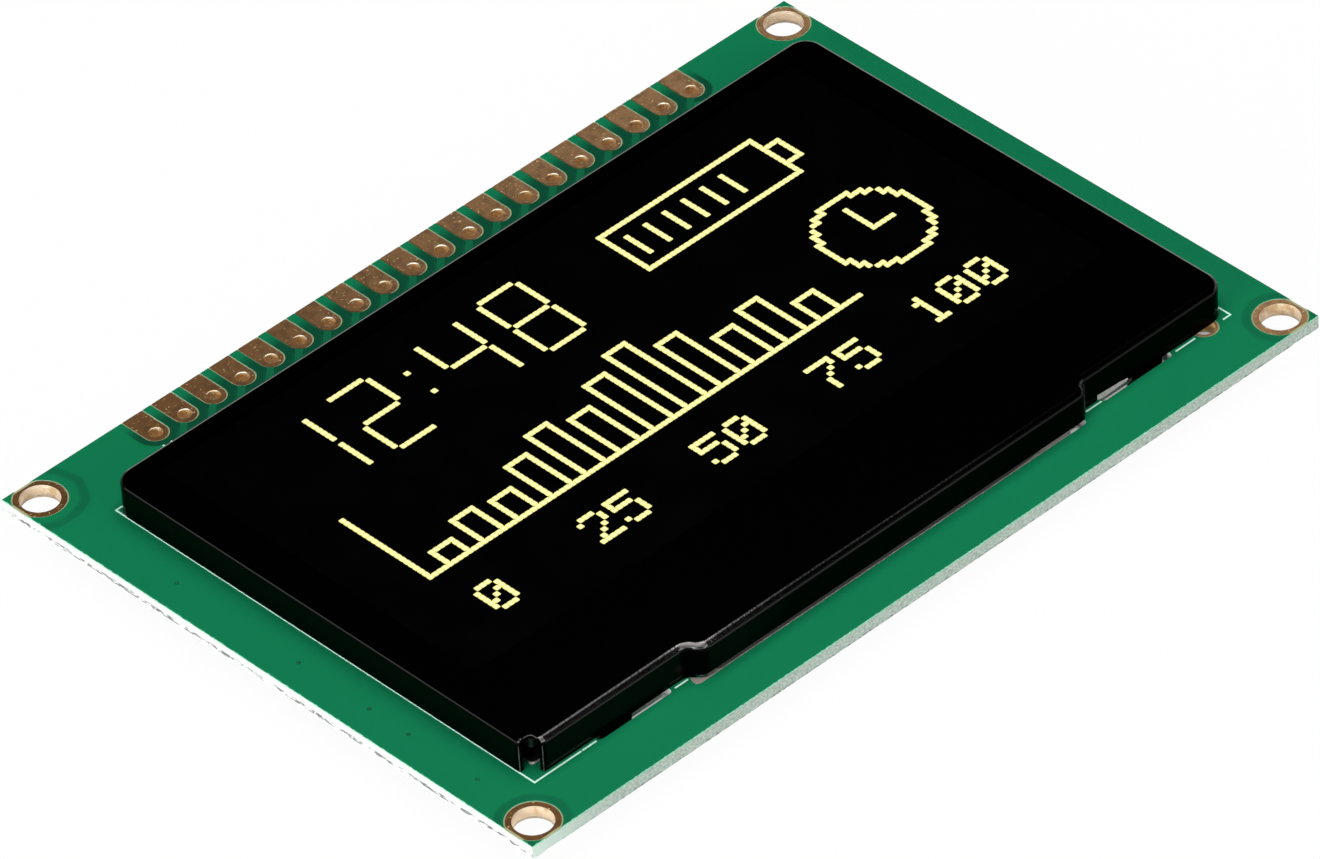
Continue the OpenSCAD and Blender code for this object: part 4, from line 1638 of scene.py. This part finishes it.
@dataclass
class Finishes:
    """Every finish of the part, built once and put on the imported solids."""

    PLAIN: ClassVar[tuple[PlainFinish, ...]] = (
        PlainFinish("dark_film", (0.0003, 0.0003, 0.0003), (0.0004, 0.0004, 0.0004),
                    roughness=(0.18, 0.22), specular=0.08, cloud=0.3, grain=30.0, grain_depth=0.003),
        PlainFinish("panel_glass", (0.006, 0.008, 0.008), (0.008, 0.011, 0.010),
                    roughness=(0.06, 0.10), specular=0.5, cloud=0.3, grain=2.0, grain_depth=0.002),
        PlainFinish("bare_chip", (0.10, 0.10, 0.12), (0.14, 0.14, 0.16),
                    roughness=(0.15, 0.25), specular=0.6, cloud=0.5, grain=5.0, grain_depth=0.003),
        PlainFinish("ferrite", (0.040, 0.040, 0.044), (0.060, 0.060, 0.064),
                    roughness=(0.6, 0.75), specular=0.35, cloud=2.5, grain=10.0, grain_depth=0.02),
        PlainFinish("case_moulding", (0.014, 0.014, 0.015), (0.022, 0.022, 0.023),
                    roughness=(0.5, 0.65), specular=0.4, cloud=3.0, grain=16.0, grain_depth=0.012),
        PlainFinish("tan_ceramic", (0.42, 0.28, 0.14), (0.50, 0.34, 0.18),
                    roughness=(0.35, 0.5), specular=0.5, cloud=1.5, grain=9.0, grain_depth=0.008),
        PlainFinish("white_ink", (0.64, 0.98, 0.83), (0.58, 0.92, 0.77),
                    roughness=(0.55, 0.7), specular=0.3, cloud=2.5, grain=9.0, grain_depth=0.006),
        PlainFinish("pale_film", (0.33, 0.275, 0.25), (0.26, 0.215, 0.195),
                    roughness=(0.45, 0.6), specular=0.3, cloud=1.5, grain=9.0, grain_depth=0.006),
        # Pale grey of the painted patch beside the right tab.
        PlainFinish("gap_light_grey", (0.70, 0.675, 0.66), (0.54, 0.52, 0.505),
                    roughness=(0.45, 0.6), specular=0.3, cloud=2.5, grain=9.0, grain_depth=0.006),
        PlainFinish("covered_via", (0.0025, 0.085, 0.037), (0.0035, 0.115, 0.050),
                    roughness=(0.45, 0.50), specular=0.1, cloud=2.0, grain=14.0, grain_depth=0.006),
        PlainFinish("header_track", (0.0035, 0.125, 0.053), (0.0040, 0.137, 0.059),
                    roughness=(0.40, 0.45), specular=0.08, cloud=1.0, grain=14.0, grain_depth=0.006),
        PlainFinish("covered_track", (0.0045, 0.175, 0.072), (0.0050, 0.190, 0.078),
                    roughness=(0.36, 0.42), specular=0.25, cloud=1.0, grain=14.0, grain_depth=0.006),
    )
    METAL: ClassVar[tuple[MetalFinish, ...]] = (
        MetalFinish("bright_solder", (0.78, 0.78, 0.79), (0.62, 0.62, 0.64)),
        MetalFinish("bare_steel", (0.24, 0.23, 0.23), (0.05, 0.05, 0.05), metallic=0.6, patch=3.0),
    )
    WORN_BY: ClassVar[dict[str, tuple[str, ...]]] = {
        "board_mask": ("circuit_board",),
        "corner_gold": ("corner_hole_lands",),
        "ground_gold": ("ground_hole_lining",),
        "pin_gold": ("board_pads",),
        "bezel_coat": ("bezel_frame",),
        "dark_film": ("polarizer",),
        "panel_glass": ("front_glass", "rear_glass"),
        "foam_tape": ("panel_tape",),
        "bare_chip": ("driver_chip",),
        "flex_film": ("flex_tail",),
        "ferrite": ("inductor_core",),
        "case_moulding": ("converter_body", "diode_body", "regulator_body"),
        "tan_ceramic": ("reservoir_bodies", "bypass_bodies"),
        "resistor_glaze": ("resistor_bodies",),
        "bright_solder": ("flex_joints", "inductor_terminals", "converter_leads", "diode_leads",
                          "regulator_leads", "reservoir_ends", "bypass_ends", "resistor_ends"),
    }

    plan: BoardPlan
    made: dict[str, Material] = field(default_factory=dict)

    def build(self) -> None:
        """Makes the materials."""
        special = (MaskFinish(self.plan), SheetFinish(), TapeFinish(), FlexFinish(), ResistorFinish())
        for finish in (*special, *self.plating(), *self.METAL, *self.PLAIN):
            self.made[finish.name] = finish.build()

    def plating(self) -> tuple[PlatingFinish, ...]:
        """Finds the gold of the corner holes, the header and the ground hole.

        Returns:
            The three finishes.
        """
        plan = self.plan
        return (
            # Each wall colour is a painted highlight at the lip, each deep colour painted shade down the
            # bore.
            PlatingFinish("corner_gold", plan, plan.from_corner, bore=1.375, wall=(1.0, 0.82, 0.60),
                          wall_deep_shade=(0.97, 0.75, 0.52), lip=0.2, shine=0.0),
            PlatingFinish("pin_gold", plan, plan.from_pin, bore=0.5, wall=(1.0, 0.92, 0.74),
                          wall_deep_shade=(0.85, 0.48, 0.15), lip=0.11, shine=1.0),
            PlatingFinish("ground_gold", plan, plan.from_ground, bore=0.75, wall=(1.0, 0.78, 0.36),
                          wall_deep_shade=(0.95, 0.60, 0.20), lip=0.11, shine=0.4,
                          stain=(0.62, 0.46, 0.18), land_sheen_left=(0.62, 0.46, 0.18)),
        )

    def dress(self, nodes: dict[str, bpy.types.Object]) -> None:
        """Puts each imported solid's finish on its material slots.

        Args:
            nodes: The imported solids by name.
        """
        for finish, names in self.WORN_BY.items():
            for name in names:
                for slot in nodes[name].material_slots:
                    slot.material = self.made[finish]
                LOG.info("%s wears %s", name, finish)


@dataclass(frozen=True)
class Lamp:
    """A soft box that faces the part, with its width level and its length across that."""

    name: str
    towards: Colour
    distance: float
    width: float
    length: float
    level: float

    def build(self) -> None:
        """Adds the lamp; its level is the light on a face that looks straight at it, where 1 is plain."""
        data = bpy.data.lights.new(self.name, "AREA")
        data.shape = "RECTANGLE"
        data.size, data.size_y = self.width, self.length
        data.energy = self.level * math.pi ** 2 * self.distance ** 2
        lamp = bpy.data.objects.new(self.name, data)
        way = Vector(self.towards).normalized()
        along = Vector((0.0, 1.0, 0.0)).cross(way).normalized()
        turn = Matrix((along, way.cross(along), way)).transposed()
        lamp.matrix_world = Matrix.Translation(way * self.distance) @ turn.to_4x4()
        bpy.context.scene.collection.objects.link(lamp)


@dataclass
class Studio:
    """White floor, soft boxes and the camera of the photograph."""

    RAYS: ClassVar[tuple[str, ...]] = ("Is Camera Ray", "Is Glossy Ray", "Is Transmission Ray")

    camera_mm: Colour = (-421.31, -473.13, 523.73)
    azimuth: float = -41.658
    elevation: float = 39.625
    roll: float = -3.752
    focal_px: float = 12726.9
    sensor: float = 36.0
    clip: Point = (0.01, 20.0)
    floor_size: float = 6.0
    floor_shade: Colour = (0.85, 0.85, 0.85)
    floor_white: float = 0.97
    # Painted shadow: the floor's own white drops to this share in a rectangle under the board.
    floor_shadow_under: float = 0.34
    under_shadow_middle: Point = (2.5, 0.0)
    under_shadow_half: Point = (31.0, 21.9)
    sky: float = 0.004
    sky_colour: Colour = (1.0, 1.0, 1.0)
    horizon: Point = (0.24, 0.18)
    lamps: tuple[Lamp, ...] = (
        Lamp("top_box", (-0.10, 0.0, 1.0), distance=0.90, width=0.70, length=0.70, level=0.74),
        Lamp("left_box", (-0.97, -0.22, 0.17), distance=0.70, width=0.30, length=0.30, level=1.00),
        Lamp("front_box", (0.15, -0.93, 0.34), distance=0.80, width=0.40, length=0.40, level=0.30),
        Lamp("fold_box", (0.33, 0.12, 0.936), distance=0.30, width=0.10, length=0.135, level=0.22),
    )

    def build(self, floor_z: float) -> None:
        """Sets the stage.

        Args:
            floor_z: Height of the floor, in metres.
        """
        self._floor(floor_z)
        self._sky()
        for lamp in self.lamps:
            lamp.build()
        self._camera()
        bpy.context.scene.view_settings.view_transform = "Standard"

    def _floor(self, floor_z: float) -> None:
        """Lays a white floor that the camera sees evenly lit, with part of the part's shadow left on it.

        Args:
            floor_z: Height of the floor, in metres.
        """
        half = self.floor_size / 2
        corners = ((-half, -half), (half, -half), (half, half), (-half, half))
        mesh = bpy.data.meshes.new("floor")
        mesh.from_pydata([(*corner, floor_z) for corner in corners], [], [(0, 1, 2, 3)])
        floor = bpy.data.objects.new("floor", mesh)
        bpy.context.scene.collection.objects.link(floor)
        floor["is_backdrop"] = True
        material = bpy.data.materials.new("floor_white")
        material.use_nodes = True
        wiring = Wiring(material.node_tree)
        matt = wiring.node("BsdfDiffuse", {"Color": self.floor_shade}).outputs[0]
        white = wiring.node("Emission").outputs[0]
        seen = wiring.node("MixShader", {0: self._own_white(wiring), 1: matt, 2: white})
        wiring.node("OutputMaterial", {"Surface": seen.outputs[0]})
        mesh.materials.append(material)

    def _own_white(self, wiring: Wiring) -> Socket:
        """How white the floor looks by itself: less under the board, as a painted shadow that the slots show.

        Args:
            wiring: The floor's node tree.

        Returns:
            The share of its own white, for the rays that show the background.
        """
        place = wiring.split(wiring.node("TexCoord").outputs["Object"])
        past = [wiring.less(wiring.apart(at, middle * MM), half * MM)
                for at, middle, half in zip(place, self.under_shadow_middle, self.under_shadow_half)]
        share = wiring.blend(wiring.largest(*past), self.floor_shadow_under, self.floor_white, 0.0, MM)
        rays = wiring.node("LightPath").outputs
        return wiring.times(wiring.largest(*(rays[kind] for kind in self.RAYS)), share)

    def _sky(self) -> None:
        """Sets a dim, even sky; reflections find the studio's white sweep low round the horizon."""
        world = bpy.data.worlds.new("studio")
        world.use_nodes = True
        wiring = Wiring(world.node_tree)
        height = wiring.split(wiring.node("TexCoord").outputs["Generated"])[2]
        sweep = wiring.blend(height, self.sky, 1.0, *self.horizon)
        glossy = wiring.node("LightPath").outputs["Is Glossy Ray"]
        level = wiring.blend(glossy, self.sky, sweep)
        back = wiring.node("Background", {"Color": self.sky_colour, "Strength": level})
        wiring.node("OutputWorld", {"Surface": back.outputs[0]})
        bpy.context.scene.world = world

    def _camera(self) -> None:
        """Places the camera, solved from the board's corners and header row in the photograph."""
        data = bpy.data.cameras.new("photo_camera")
        data.sensor_width = self.sensor
        data.lens = self.focal_px * self.sensor / PHOTO_WIDTH_PX
        data.clip_start, data.clip_end = self.clip
        a, e, r = (math.radians(v) for v in (self.azimuth, self.elevation, self.roll))
        forward = Vector((-math.sin(a) * math.cos(e), math.cos(a) * math.cos(e), -math.sin(e)))
        level = Vector((math.cos(a), math.sin(a), 0.0))
        right = level * math.cos(r) + level.cross(forward) * math.sin(r)
        up = right.cross(forward)
        turn = Matrix((right, up, -forward)).transposed()
        camera = bpy.data.objects.new("photo_camera", data)
        camera.matrix_world = Matrix.Translation(Vector(self.camera_mm) * MM) @ turn.to_4x4()
        bpy.context.scene.collection.objects.link(camera)
        bpy.context.scene.camera = camera


def main() -> None:
    """Builds the dressed part and its studio."""
    logging.basicConfig(level=logging.INFO, format="%(message)s")
    bpy.ops.wm.read_factory_settings(use_empty=True)
    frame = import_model()
    cad_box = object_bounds()
    plan = BoardPlan.from_frame()
    finishes = Finishes(plan)
    finishes.build()
    finishes.dress(frame["nodes"])
    made = finishes.made
    ink, via = made["white_ink"], made["covered_via"]
    BoardPrint(plan).build(ink, made["header_track"], via)
    ReliefEdges().build(made["bare_steel"])
    TailEdge().build(made["pale_film"], plan.thickness)
    TabGapPatch().build(made["gap_light_grey"])
    RearCircuit(plan).build(ink, made["covered_track"], via, made["bright_solder"])
    LitField().build(TileTree("pixel_tiles"))
    Studio().build(cad_box[0].z)


if __name__ == "__main__":
    main()
